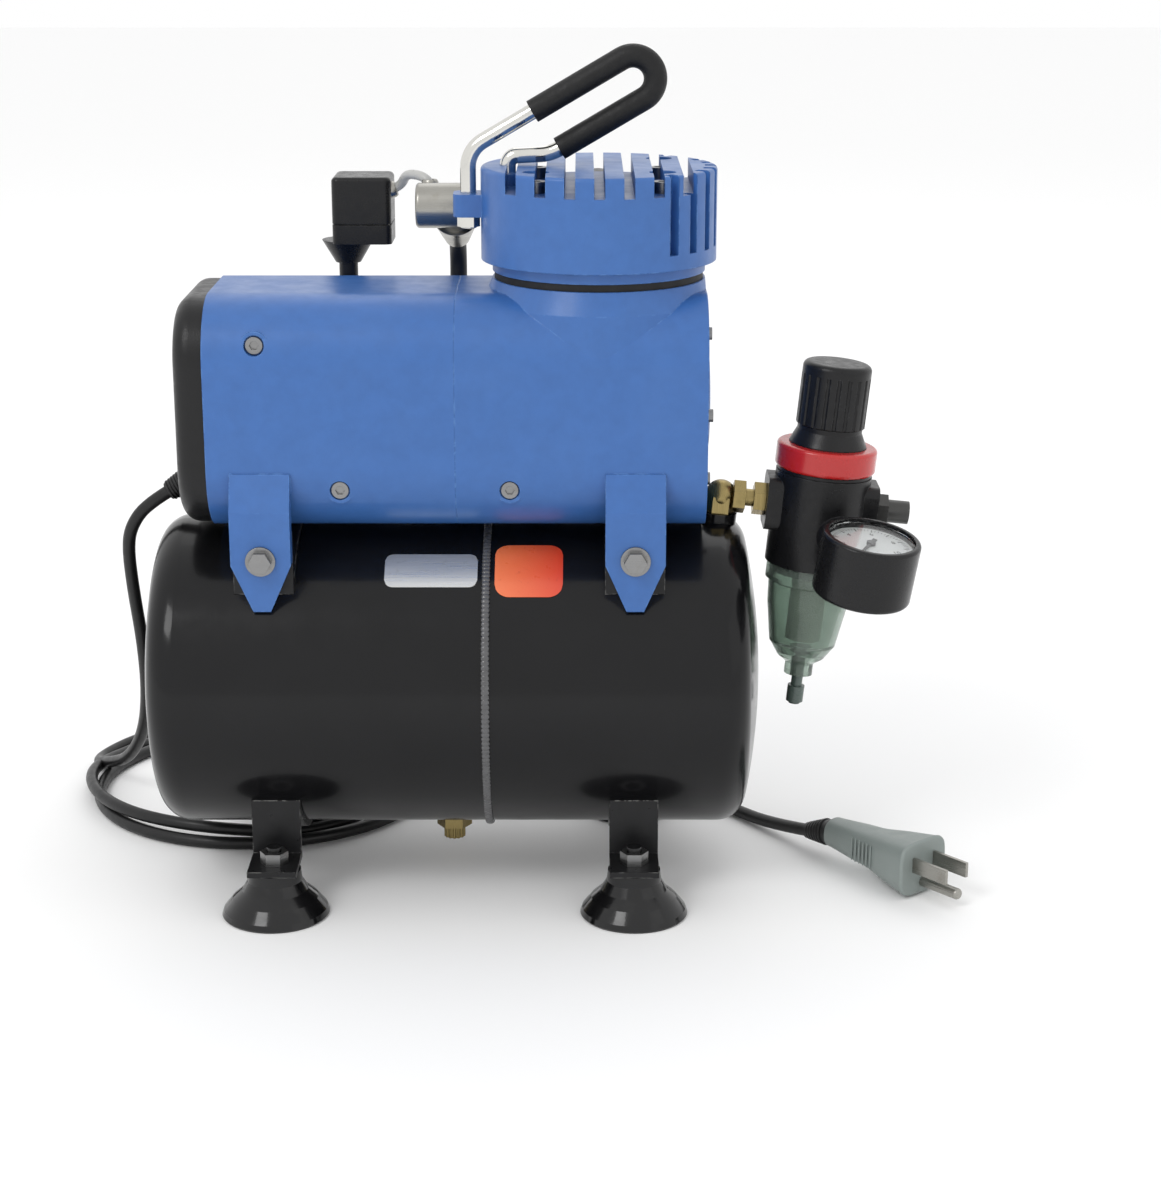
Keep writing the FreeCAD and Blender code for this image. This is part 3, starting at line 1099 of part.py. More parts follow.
def make_bonnet():
    base = REG_BODY_TOP + SCREWED
    outline = [(0, base), (REGULATOR_BODY - 0.5, base), (REGULATOR_BODY - 0.5, RING_BOTTOM - 0.1),
               (16.0, RING_BOTTOM - 0.1), (16.0, RING_TOP + 0.4), (13.4, BONNET_TOP - 2), (13.4, BONNET_TOP),
               (0, BONNET_TOP)]
    bonnet = turned(outline, reg(0))
    bonnet = bonnet.cut(rod(BONNET_BORE, reg(base - 1), reg(BONNET_TOP - 3)))
    bonnet = bonnet.cut(rod(SPINDLE + TURNING, reg(base), reg(BONNET_TOP + 1)))
    lean_save("regulator_bonnet", bonnet)
    ring = tube(RING_RADIUS, 16.0 + SCREWED, reg(RING_BOTTOM), reg(RING_TOP))
    ring = ring.makeFillet(1.6, [e for e in ring.Edges
                                 if e.BoundBox.XLength > 2 * RING_RADIUS - 1])
    lean_save("regulator_ring", ring)


def make_adjuster():
    """The knob pulls up off its lock and turns the screw, which moves the spring seat."""
    spindle = rod(SPINDLE, reg(RING_BOTTOM), reg(BONNET_TOP + 14))
    collar = rod(6.0, reg(BONNET_TOP - 3 - APART - 2), reg(BONNET_TOP - 3 - APART))
    lean_save("adjusting_screw", joined([spindle, collar]))
    knob = rod(KNOB_RADIUS, reg(KNOB_BOTTOM), reg(KNOB_TOP))
    knob = knob.makeFillet(2.5, [e for e in knob.Edges if abs(e.CenterOfMass.z - KNOB_TOP) < 0.01])
    grips = [rod(0.9, reg(KNOB_BOTTOM - 1, dx, dy), reg(KNOB_TOP - 5, dx, dy))
             for dx, dy in circle_points(20, KNOB_RADIUS + 0.3, 0)]
    knob = knob.cut(Part.makeCompound(grips))
    bore = rod(SPINDLE + TURNING, reg(KNOB_BOTTOM - 1), reg(BONNET_TOP + 18))
    skirt = rod(KNOB_RADIUS - 2.6, reg(KNOB_BOTTOM - 1), reg(KNOB_BOTTOM + 5))
    lean_save("regulator_knob", knob.cut(bore).cut(skirt))
    seat = tube(BONNET_BORE - 1.0, SPINDLE + TURNING, reg(RING_BOTTOM + 5), reg(RING_BOTTOM + 8))
    lean_save("spring_seat", seat)


def make_filter():
    element = tube(7.5, 4.5, reg(OUTLET_Z - 56), reg(OUTLET_Z - 30))
    cap = rod(7.5, reg(OUTLET_Z - 58), reg(OUTLET_Z - 55))
    stem = rod(2.5, reg(OUTLET_Z - 56), reg(OUTLET_Z - 15))
    top = rod(9.0, reg(OUTLET_Z - 30.5), reg(OUTLET_Z - 29))
    lean_save("filter_element", joined([element, cap, stem, top]))
    rim_top = REG_BODY_BOTTOM - APART
    outer = [(NECK_OD + 1.5 + TURNING, rim_top), (BOWL_RADIUS + 1, rim_top), (BOWL_RADIUS + 1, rim_top - 7),
             (BOWL_RADIUS - 0.5, rim_top - 8), (BOWL_RADIUS - 1.2, rim_top - 18),
             (BOWL_RADIUS - 4, BOWL_BOTTOM + 6),
             (BOWL_RADIUS - 8, BOWL_BOTTOM), (6.0, BOWL_BOTTOM - 3), (6.0, BOWL_BOTTOM - 8),
             (BOWL_DRAIN + TURNING, BOWL_BOTTOM - 8), (BOWL_DRAIN + TURNING, BOWL_BOTTOM + 2.0),
             (BOWL_RADIUS - 9.5, BOWL_BOTTOM + 2.4), (BOWL_RADIUS - 6.2, BOWL_BOTTOM + 7),
             (BOWL_RADIUS - 3.4, rim_top - 18), (BOWL_RADIUS - 3.0, rim_top - 8),
             (NECK_OD + 1.5 + TURNING, rim_top - 6)]
    lean_save("filter_bowl", turned(outer, reg(0)))
    pin = joined([rod(BOWL_DRAIN, reg(DRAIN_TIP), reg(BOWL_BOTTOM + 3)),
                  rod(4.6, reg(BOWL_BOTTOM + 2.0 + APART), reg(BOWL_BOTTOM + 4)),
                  rod(3.6, reg(DRAIN_TIP + 1), reg(DRAIN_TIP + 8))])
    pin = pin.cut(rod(1.1, reg(DRAIN_TIP - 1), reg(BOWL_BOTTOM - 4)))
    lean_save("bowl_drain", pin)


def make_gauge():
    """A round gauge on a side stem, its dial facing up."""
    out = gauge_axis()
    middle = reg(GAUGE_MID_Z) + out * GAUGE_CENTRE
    low = middle - V(0, 0, GAUGE_DEPTH / 2)
    high = middle + V(0, 0, GAUGE_DEPTH / 2)
    case = rod(GAUGE_RADIUS, low, high)
    case = case.makeFillet(2.0, [e for e in case.Edges if abs(e.CenterOfMass.z - low.z) < 0.01])
    case = case.makeFillet(1.4, [e for e in case.Edges if abs(e.CenterOfMass.z - high.z) < 0.01])
    case = case.cut(rod(GAUGE_RADIUS - 2.4, high - V(0, 0, 5.0), high + V(0, 0, 1)))
    case = case.cut(rod(GAUGE_RADIUS - 1.6, low + V(0, 0, 2), high - V(0, 0, 6.5)))
    block = box(-6, 6, -6, 6, 2, 14)
    block.translate(low)
    stem = rod(GAUGE_THREAD, reg(GAUGE_MID_Z) + out * 15.2, reg(GAUGE_MID_Z) + out * (GAUGE_CENTRE - 4))
    flats = hexagon(11, reg(GAUGE_MID_Z) + out * (GAUGE_STEM_FACE + SCREWED),
                    reg(GAUGE_MID_Z) + out * (GAUGE_CENTRE - GAUGE_RADIUS + 0.5))
    body = joined([case, block, stem, flats])
    post_hole = rod(0.8 + TURNING, high - V(0, 0, 8), high)
    body = body.cut(post_hole)
    lean_save("gauge_case", tipped(body))
    face_z = high.z - 5.0
    hub = rod(1.8, V(middle.x, middle.y, face_z + 0.6), V(middle.x, middle.y, face_z + 1.8))
    spindle = rod(0.8, V(middle.x, middle.y, face_z - 1.2), V(middle.x, middle.y, face_z + 1.5))
    tip = GAUGE_RADIUS - 5.5
    points = [V(-0.9, -5, 0), V(0.9, -5, 0), V(0.25, tip, 0), V(-0.25, tip, 0)]
    pointer = Part.Face(Part.makePolygon(points + points[:1])).extrude(V(0, 0, 0.5))
    pointer.rotate(V(0, 0, 0), V(0, 0, 1), GAUGE_TURN + 135)
    pointer.translate(V(middle.x, middle.y, face_z + 0.9))
    lean_save("gauge_needle", tipped(joined([hub, spindle, pointer])))


def make_outlet_fitting():
    face_x = REG_X + REGULATOR_BODY + 3
    thread = rod(OUTLET_THREAD, V(face_x - 8.8, 0, OUTLET_Z), V(face_x, 0, OUTLET_Z))
    nut = hexagon(12, V(face_x + SCREWED, 0, OUTLET_Z), V(face_x + 5, 0, OUTLET_Z))
    nose = rod(OUTLET_THREAD, V(face_x - 1, 0, OUTLET_Z), V(face_x + 14, 0, OUTLET_Z))
    body = joined([thread, nut, nose]).cut(rod(2.0, V(face_x - 12, 0, OUTLET_Z), V(face_x + 20, 0, OUTLET_Z)))
    lean_save("outlet_fitting", body)


def cord_tube(points):
    """A cord's tube: each bend is as large as its two runs allow."""
    trims = []
    for before, corner, after in zip(points, points[1:], points[2:]):
        trims.append(0.45 * min((corner - before).Length, (after - corner).Length))
    wire, radii = routed_wire(points, trims)
    solid = swept(wire, CORD_RADIUS, points[0], points[1] - points[0])
    section = math.pi * CORD_RADIUS ** 2
    print("cord radii", radii, "length", round(wire.Length), "volume ratio",
          round(solid.Volume / (section * wire.Length), 4))
    return solid


def ellipse_ring(height, x0, x1, y0, y1, band):
    """A flat ring with the coil's outer form."""
    centre = V((x0 + x1) / 2, (y0 + y1) / 2, 0)
    half_x, half_y = (x1 - x0) / 2, (y1 - y0) / 2

    def disc(rx, ry):
        if rx >= ry:
            edge = Part.Ellipse(centre, rx, ry).toShape()
            return Part.Face(Part.Wire([edge])).extrude(V(0, 0, height))
        edge = Part.Ellipse(centre + V(0, ry, 0), centre + V(-rx, 0, 0), centre).toShape()
        return Part.Face(Part.Wire([edge])).extrude(V(0, 0, height))

    return disc(half_x, half_y).cut(disc(half_x - band, half_y - band))


def make_cord():
    relief = taper(3.9, 5.2, gland_point(GLAND_OUT), gland_point(4.4))
    inside = rod(GLAND_HOLE, gland_point(4.5), gland_point(-10))
    collar = rod(6.6, gland_point(-8.0), gland_point(-10.0))
    bore = rod(CORD_RADIUS + SCREWED, gland_point(GLAND_OUT - 3), gland_point(-20))
    save("cord_gland", joined([relief, inside, collar]).cut(bore))
    drop = [gland_point(GLAND_OUT)] + [V(*p) for p in DROP_ROUTE]
    first = COIL_START.x - COIL_RADIUS_START - CORD_RADIUS - 1
    right = COIL_END.x + COIL_RADIUS_END + CORD_RADIUS + 1
    near = COIL_END.y - COIL_RADIUS_END - CORD_RADIUS - 1
    far = COIL_START.y + COIL_RADIUS_START + CORD_RADIUS + 1
    coil = ellipse_ring(COIL_HEIGHT, first, right, near, far, COIL_BAND)
    save("cord_coil", coil)
    save("cord_drop", cord_tube(drop).cut(coil))
    tail = [V(*p) for p in TAIL_ROUTE] + [RELIEF_START]
    save("cord_tail", cord_tube(tail).cut(coil))


def plug_point(distance, across=0, z=None):
    base = V(154.5, 7.5, PLUG_HEIGHT)
    side = V(-PLUG_AXIS.y, PLUG_AXIS.x, 0)
    point = base + PLUG_AXIS * distance + side * across
    return point if z is None else V(point.x, point.y, z)


def make_plug():
    end = plug_point(14)
    relief = taper(3.6, 6.0, RELIEF_START, end)
    save("plug_relief", relief)

    def section(distance, width, height):
        centre = plug_point(distance)
        side = V(-PLUG_AXIS.y, PLUG_AXIS.x, 0)
        c = min(width, height) * 0.28
        w, h = width / 2, height / 2
        corners = [(w - c, h), (-w + c, h), (-w, h - c), (-w, -h + c), (-w + c, -h), (w - c, -h),
                   (w, -h + c), (w, h - c)]
        points = [centre + side * a + V(0, 0, b) for a, b in corners]
        return Part.makePolygon(points + points[:1])

    start = 12.0
    stations = [(start, 12.5, 12.5), (start + PLUG_LENGTH * 0.55, 21.0, 20.0),
                (start + PLUG_LENGTH * 0.86, PLUG_WIDTH, 24.6), (start + PLUG_LENGTH, PLUG_WIDTH - 1.5, 23.6)]
    body = Part.makeLoft([section(*s) for s in stations], True, True)
    body = body.cut(taper(3.6, 6.0, RELIEF_START, end))
    tip = start + PLUG_LENGTH
    blades = []
    for across in (-6.3, 6.3):
        blade = Part.makeBox(BLADE_LENGTH + 6, 1.5, 6.3, V(tip - 6, across - 0.75, -1.0))
        blades.append(blade)
    ground = rod(2.4, V(tip - 6, 0, -6.5), V(tip + BLADE_LENGTH + 2, 0, -6.5))
    ground = ground.makeFillet(1.5, [e for e in ground.Edges
                                     if abs(e.CenterOfMass.x - tip - BLADE_LENGTH - 2) < 0.01])
    pins = []
    turn = FreeCAD.Rotation(V(1, 0, 0), PLUG_AXIS)
    for pin in blades + [ground]:
        pin.Placement = FreeCAD.Placement(plug_point(0), turn).multiply(pin.Placement)
        pins.append(pin)
    save("plug_body", body.cut(Part.makeCompound(pins)))
    save("plug_pins", *pins)


# ---------------------------------------------------------------- the assembly
make_tank()
make_saddles()
make_cradles()
make_feet()
make_fasteners()
make_bushes()
make_drain_valve()
make_safety_valve()
make_check_valve()
make_end_cap()
make_power_switch()
make_motor_cover()
make_stator()
make_rear_bracket()
make_rotating_group()
make_crank()
make_connecting_rod()
make_piston()
make_crankcase()
make_crankcase_cover()
make_cylinder()
make_valve_plate()
make_cylinder_head()
make_intake_filter()
make_discharge()
make_pressure_switch()
make_handle()
make_outlet_elbow()
make_regulator_body()
make_bonnet()
make_adjuster()
make_filter()
make_gauge()
make_outlet_fitting()
make_cord()
make_plug()
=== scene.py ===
"""Airbrush compressor: finishes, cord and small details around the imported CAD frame.

Everything is in metres in the frame's own axes: +X along the tank, +Y to the back, +Z up.
"""

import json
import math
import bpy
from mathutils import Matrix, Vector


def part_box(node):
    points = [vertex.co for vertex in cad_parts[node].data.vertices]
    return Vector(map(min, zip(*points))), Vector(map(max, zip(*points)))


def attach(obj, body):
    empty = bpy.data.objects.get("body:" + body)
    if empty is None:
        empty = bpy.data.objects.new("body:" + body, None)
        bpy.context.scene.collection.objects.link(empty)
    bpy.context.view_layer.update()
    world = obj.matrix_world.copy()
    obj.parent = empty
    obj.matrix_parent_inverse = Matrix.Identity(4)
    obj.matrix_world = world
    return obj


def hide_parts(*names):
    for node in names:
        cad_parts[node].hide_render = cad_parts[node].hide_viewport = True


bl_info = {
    "name": "Airbrush Compressor",
    "version": (1, 0, 0),
    "blender": (4, 5, 0),
    "location": "View3D > Sidebar > Compressor",
    "description": "Builds the looks of a small airbrush compressor on an air tank",
    "category": "Object",
}

import bmesh
import bpy
from mathutils import Matrix, Vector

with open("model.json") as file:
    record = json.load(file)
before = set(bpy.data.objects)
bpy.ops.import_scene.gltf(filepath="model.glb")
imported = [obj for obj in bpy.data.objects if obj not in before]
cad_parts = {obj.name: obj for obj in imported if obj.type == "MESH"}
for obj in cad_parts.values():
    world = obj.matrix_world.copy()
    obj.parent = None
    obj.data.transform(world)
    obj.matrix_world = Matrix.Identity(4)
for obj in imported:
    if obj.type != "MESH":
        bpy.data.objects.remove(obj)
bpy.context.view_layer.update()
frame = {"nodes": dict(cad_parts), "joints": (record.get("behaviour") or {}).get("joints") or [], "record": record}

MM = 0.001
UP = Vector((0.0, 0.0, 1.0))


# ---------------------------------------------------------------- places read from the frame
def node_box(name):
    """Lowest and highest corner of a CAD node."""
    low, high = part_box(name)
    return Vector(low), Vector(high)


def joint_axis(name):
    """A joint's place and its axis."""
    joint = next(j for j in frame["joints"] if j["name"] == name)
    return Vector(joint["pos_m"]), Vector(joint["axis"]).normalized()


TANK_RADIUS = 65 * MM
TANK_Z = 87 * MM
WELD_X = 15 * MM
CORD_RADIUS = 2.75 * MM
FLOOR_LINE = 2.8 * MM

# ---------------------------------------------------------------- the mains cord's route
# Out of the strain relief in the end cap and down behind the tank's left end.
CORD_EXIT = (-0.11947, 0.008, 0.16158)
DROP_ROUTE = [(-0.1288, 0.0086, 0.1558), (-0.1357, 0.0105, 0.1473), (-0.1391, 0.014, 0.1371),
              (-0.1394, 0.0225, 0.115), (-0.1384, 0.033, 0.088), (-0.1397, 0.045, 0.060),
              (-0.145, 0.059, 0.036), (-0.1555, 0.076, 0.018), (-0.167, 0.093, 0.0096)]
# From the coil along the floor behind the tank, and forward to the plug.
TAIL_ROUTE = [(-0.038, 0.150, FLOOR_LINE), (-0.006, 0.139, FLOOR_LINE), (0.032, 0.119, FLOOR_LINE),
              (0.068, 0.099, FLOOR_LINE), (0.100, 0.076, FLOOR_LINE), (0.121, 0.052, FLOOR_LINE),
              (0.1375, 0.030, 0.0036), (0.1528, 0.0095, 0.0086)]
# The coil: two turns and a quarter, laid clockwise, each turn a little off the one before.
COIL_FIRST_CENTRE = Vector((-0.100, 0.098))
COIL_LAST_CENTRE = Vector((-0.092, 0.082))
COIL_FIRST_RADIUS = 0.080
COIL_LAST_RADIUS = 0.077
COIL_FIRST_ANGLE = math.radians(170)
COIL_TURNS = 2.255
COIL_POINTS_PER_TURN = 24

# The plug: its middle line starts here and runs this way, level with the floor.
PLUG_BASE = Vector((0.1545, 0.0075, 0.0126))
PLUG_AXIS = Vector((0.653, -0.757, 0.0)).normalized()
RELIEF_START = Vector((0.1528, 0.0095, 0.0086))


# ---------------------------------------------------------------- the user's sizes and colours
class CompressorSizes(bpy.types.PropertyGroup):
    """Sizes of the pieces that are added to the frame."""

    cord_diameter: bpy.props.FloatProperty(
        name="Cord diameter", description="Outer diameter of the mains cord",
        default=2 * CORD_RADIUS, min=0.003, max=0.008, unit="LENGTH")
    relief_ribs: bpy.props.IntProperty(
        name="Relief ribs", description="Ribs on each strain relief", default=6, min=2, max=12)
    weld_ripples: bpy.props.IntProperty(
        name="Weld ripples", description="Ripples around the tank's weld", default=210, min=40, max=400)
    unloader_diameter: bpy.props.FloatProperty(
        name="Unloader tube diameter", description="Outer diameter of the pressure switch's thin tube",
        default=0.004, min=0.002, max=0.006, unit="LENGTH")
    dial_marks: bpy.props.IntProperty(
        name="Dial marks", description="Small marks on the gauge's scale", default=50, min=10, max=100)


class CompressorColours(bpy.types.PropertyGroup):
    """Main colours of the finishes."""

    housing: bpy.props.FloatVectorProperty(
        name="Housing", description="Blue paint of the motor and pump",
        default=(0.040, 0.130, 0.38), size=3, min=0.0, max=1.0, subtype="COLOR")
    tank: bpy.props.FloatVectorProperty(
        name="Tank", description="Gloss black paint of the tank",
        default=(0.004, 0.004, 0.0045), size=3, min=0.0, max=1.0, subtype="COLOR")
    ring: bpy.props.FloatVectorProperty(
        name="Ring", description="Red ring under the regulator's knob",
        default=(0.55, 0.016, 0.016), size=3, min=0.0, max=1.0, subtype="COLOR")
    plug: bpy.props.FloatVectorProperty(
        name="Plug", description="Grey plastic of the plug",
        default=(0.2, 0.23, 0.22), size=3, min=0.0, max=1.0, subtype="COLOR")


# ---------------------------------------------------------------- node helpers
class Tree:
    """A node tree under construction, fed with numbers, sockets or labels of the tree's own inputs."""

    def __init__(self, tree):
        self.tree = tree
        self.inputs = None

    def feed(self, target, value):
        if isinstance(value, str):
            value = self.inputs.outputs[value]
        if isinstance(value, bpy.types.NodeSocket):
            self.tree.links.new(value, target)
        else:
            target.default_value = value

    def node(self, kind, sockets=None, **settings):
        new = self.tree.nodes.new(kind)
        for key, value in settings.items():
            setattr(new, key, value)
        for label, value in (sockets or {}).items():
            self.feed(new.inputs[label], value)
        return new

    def math(self, operation, first, second):
        node = self.node("ShaderNodeMath", operation=operation)
        for socket, value in zip(node.inputs, (first, second)):
            self.feed(socket, value)
        return node.outputs["Value"]


class Finish(Tree):
    """A material under construction: Object coordinates, a Principled shader and short calls for both."""

    def __init__(self, name, colour, roughness, metallic=0.0, coat=0.0, coat_roughness=0.05, gloss=0.5):
        self.material = bpy.data.materials.new(name)
        self.material.use_nodes = True
        super().__init__(self.material.node_tree)
        self.shader = self.tree.nodes["Principled BSDF"]
        self.colour = tuple(colour) + (1.0,)
        self.set("Base Color", self.colour)
        self.set("Roughness", roughness)
        self.set("Metallic", metallic)
        self.set("Coat Weight", coat)
        self.set("Coat Roughness", coat_roughness)
        self.set("Specular IOR Level", gloss)
        self.material.diffuse_color = self.colour
        self.roughness = roughness
        self.place = self.node("ShaderNodeTexCoord").outputs["Object"]
        self.height = None

    def set(self, socket, value):
        self.feed(self.shader.inputs[socket], value)

    def stretched(self, scale, turn=(0.0, 0.0, 0.0)):
        """Object coordinates scaled along each axis, for brushed and drawn surfaces."""
        return self.node("ShaderNodeMapping", {"Scale": scale, "Rotation": turn,
                                               "Vector": self.place}).outputs["Vector"]

    def noise(self, scale, detail=4.0, roughness=0.55, place=None):
        return self.node("ShaderNodeTexNoise", {"Scale": scale, "Detail": detail, "Roughness": roughness,
                                                "Vector": place or self.place}).outputs["Fac"]

    def cells(self, scale):
        return self.node("ShaderNodeTexVoronoi", {"Scale": scale, "Vector": self.place}).outputs["Distance"]

    def ramp(self, value, low, high, from_value=0.0, to_value=1.0):
        """Remaps low..high of a value to from_value..to_value, clamped."""
        return self.node("ShaderNodeMapRange", {"From Min": low, "From Max": high, "To Min": from_value,
                                                "To Max": to_value, "Value": value}).outputs["Result"]

    def blend_colour(self, amount, colour):
        """The base colour, moving towards another by a 0..1 pattern."""
        current = self.shader.inputs["Base Color"]
        first = current.links[0].from_socket if current.links else self.colour
        mix = self.node("ShaderNodeMix", data_type="RGBA")
        for label, value in (("Factor", amount), ("A", first), ("B", tuple(colour) + (1.0,))):
            self.feed(mix.inputs[label], value)
        self.feed(current, mix.outputs["Result"])

    def tint(self, amount, factor):
        """The base colour, moving towards itself times factor."""
        self.blend_colour(amount, [min(1.0, c * factor) for c in self.colour[:3]])

    def rough(self, value, spread):
        """Roughness that varies round its own value with a 0..1 pattern."""
        low = max(0.02, self.roughness - spread)
        self.set("Roughness", self.ramp(value, 0.3, 0.7, low, self.roughness + spread))

    def bump(self, value, depth, strength=1.0):
        """Adds a height pattern, in metres, to the surface."""
        bump = self.node("ShaderNodeBump", {"Strength": strength, "Distance": depth, "Height": value})
        if self.height is not None:
            self.feed(bump.inputs["Normal"], self.height)
        self.height = bump.outputs["Normal"]
        self.set("Normal", self.height)

    def bevel(self, radius):
        """The normal as it would be with rounded edges."""
        return self.node("ShaderNodeBevel", {"Radius": radius}, samples=4).outputs["Normal"]

    def soften_edges(self, radius):
        """Rounds the look of sharp edges; goes before any bump."""
        self.height = self.bevel(radius)
        self.set("Normal", self.height)

    def edge_mask(self, radius, sharpness=14.0):
        """1 on convex and concave edges, 0 on flat faces."""
        rounded = self.bevel(radius)
        normal = self.node("ShaderNodeNewGeometry").outputs["Normal"]
        dot = self.node("ShaderNodeVectorMath", operation="DOT_PRODUCT")
        self.feed(dot.inputs[0], rounded)
        self.feed(dot.inputs[1], normal)
        gap = self.math("SUBTRACT", 1.0, dot.outputs["Value"])
        return self.math("MULTIPLY", gap, sharpness)


def worn_edges(finish, radius, colour, amount):
    """Paint rubbed along its edges, in patches."""
    edges = finish.edge_mask(radius)
    patches = finish.ramp(finish.noise(240.0, 6.0, 0.7), 0.5, 0.72)
    wear = finish.math("MULTIPLY", finish.math("MULTIPLY", edges, patches), amount)
    clamp = finish.math("MINIMUM", wear, 1.0)
    finish.blend_colour(clamp, colour)


def dust(finish, colour, amount):
    """Thin dust lying in broad patches."""
    patches = finish.ramp(finish.noise(22.0, 7.0, 0.62), 0.45, 0.8, 0.0, amount)
    finish.blend_colour(patches, colour)


def fine_scratches(finish, depth):
    """Short hairline scratches in two directions."""
    for turn in ((0.3, 0.2, 0.5), (1.1, 0.7, 2.0)):
        place = finish.stretched((1400.0, 60.0, 60.0), turn)
        lines = finish.ramp(finish.noise(1.0, 2.0, 0.5, place), 0.68, 0.74)
        finish.bump(lines, depth, 0.5)


# ---------------------------------------------------------------- finishes
def tank_black(colours):
    """Gloss black stove paint over rolled and pressed sheet."""
    finish = Finish("tank_gloss_black", colours.tank, 0.2, coat=0.12, coat_roughness=0.06, gloss=0.22)
    finish.tint(finish.noise(35.0), 1.7)
    finish.rough(finish.noise(60.0, 6.0), 0.06)
    dust(finish, (0.03, 0.03, 0.031), 0.05)
    worn_edges(finish, 0.0008, (0.06, 0.06, 0.06), 1.0)
    fine_scratches(finish, 0.000006)
    finish.bump(finish.noise(45.0, 2.0), 0.00006)
    finish.bump(finish.noise(900.0, 2.0), 0.000012)
    return finish.material


def housing_blue(colours):
    """Semi-gloss blue powder coat on die-cast housings."""
    finish = Finish("housing_blue_paint", colours.housing, 0.36, coat=0.1, coat_roughness=0.2, gloss=0.4)
    finish.soften_edges(0.0007)
    finish.tint(finish.noise(9.0, 2.0), 1.06)
    finish.tint(finish.ramp(finish.noise(160.0, 5.0), 0.35, 0.75), 0.93)
    dust(finish, (0.10, 0.20, 0.42), 0.10)
    worn_edges(finish, 0.0009, (0.10, 0.24, 0.56), 1.4)
    finish.rough(finish.noise(80.0, 5.0), 0.07)
    finish.bump(finish.noise(1300.0, 2.0), 0.000035)
    finish.bump(finish.noise(380.0, 2.0), 0.00002)
    return finish.material


def black_bracket(colours):
    """Black paint on bent steel straps and tubes."""
    finish = Finish("bracket_black_paint", (0.006, 0.006, 0.0065), 0.34, gloss=0.3)
    finish.soften_edges(0.0004)
    finish.tint(finish.noise(120.0), 2.0)
    worn_edges(finish, 0.0006, (0.22, 0.22, 0.21), 1.2)
    finish.rough(finish.noise(150.0, 5.0), 0.08)
    finish.bump(finish.noise(1100.0, 2.0), 0.00002)
    return finish.material


def moulded_black(name, roughness, grain):
    """Black moulded plastic with a fine spark-eroded texture."""
    finish = Finish(name, (0.006, 0.006, 0.0065), roughness, gloss=0.3)
    finish.soften_edges(0.0004)
    finish.tint(finish.noise(40.0, 4.0), 1.8)
    worn_edges(finish, 0.0005, (0.06, 0.06, 0.062), 1.0)
    finish.rough(finish.noise(300.0, 4.0), 0.08)
    finish.bump(finish.cells(grain), 0.00003)
    finish.bump(finish.noise(70.0, 2.0), 0.00002)
    return finish.material


def glossy_rubber(colours):
    """Suction-cup rubber, wiped shiny, with a dull bloom in places."""
    finish = Finish("suction_rubber", (0.004, 0.004, 0.0045), 0.17, coat=0.3, coat_roughness=0.05, gloss=0.3)
    bloom = finish.ramp(finish.noise(90.0, 6.0, 0.65), 0.55, 0.85)
    finish.blend_colour(bloom, (0.02, 0.02, 0.019))
    finish.rough(finish.noise(140.0, 6.0), 0.08)
    finish.bump(finish.noise(260.0, 3.0), 0.00004)
    return finish.material


def matt_rubber(name, shade, roughness, grain):
    finish = Finish(name, (shade, shade, shade * 1.03), roughness, gloss=0.3)
    finish.tint(finish.noise(60.0, 5.0), 1.9)
    finish.blend_colour(finish.ramp(finish.noise(500.0, 5.0), 0.6, 0.8, 0.0, 0.25), (0.05, 0.05, 0.05))
    finish.rough(finish.noise(200.0, 4.0), 0.08)
    finish.bump(finish.noise(grain, 4.0), 0.00006)
    return finish.material


def foam_grip(colours):
    """The handle's soft sleeve: closed-cell foam with small pores."""
    finish = Finish("grip_foam", (0.006, 0.006, 0.0063), 0.5, gloss=0.3)
    finish.tint(finish.noise(70.0, 4.0), 1.8)
    pores = finish.cells(1500.0)
    finish.rough(finish.noise(400.0, 4.0), 0.1)
    finish.bump(pores, 0.00008)
    return finish.material


def turned_metal(name, colour, roughness, streak_axis, tarnish=None, spread=0.08):
    """Bare metal with fine tool marks round or along an axis, and a little tarnish."""
    finish = Finish(name, colour, roughness, metallic=1.0)
    finish.soften_edges(0.0003)
    finish.tint(finish.noise(50.0, 4.0), 0.78)
    if tarnish:
        finish.blend_colour(finish.ramp(finish.noise(110.0, 6.0, 0.7), 0.52, 0.85, 0.0, 0.7), tarnish)
    scale = [40.0, 40.0, 40.0]
    scale[streak_axis] = 2600.0
    streaks = finish.noise(1.0, 3.0, 0.5, finish.stretched(tuple(scale)))
    finish.rough(streaks, spread)
    finish.bump(streaks, 0.000012)
    return finish.material


def enamelled_copper(colours):
    """Windings: lacquered wire seen as fine parallel turns."""
    finish = Finish("winding_wire", (0.42, 0.12, 0.035), 0.3, metallic=0.8, coat=0.5)
    wires = finish.node("ShaderNodeTexWave", {"Scale": 260.0, "Distortion": 1.2, "Vector": finish.place},
                        wave_type="BANDS", bands_direction="DIAGONAL").outputs["Fac"]
    finish.tint(wires, 0.45)
    finish.rough(finish.noise(300.0), 0.1)
    finish.bump(wires, 0.0002)
    return finish.material


def red_ring(colours):
    """Gloss red plastic ring."""
    finish = Finish("ring_red_plastic", colours.ring, 0.24, coat=0.3, coat_roughness=0.08)
    finish.soften_edges(0.0004)
    finish.tint(finish.noise(60.0, 4.0), 0.75)
    worn_edges(finish, 0.0005, (0.5, 0.06, 0.05), 1.0)
    finish.rough(finish.noise(220.0, 5.0), 0.06)
    finish.bump(finish.noise(900.0, 2.0), 0.000015)
    return finish.material


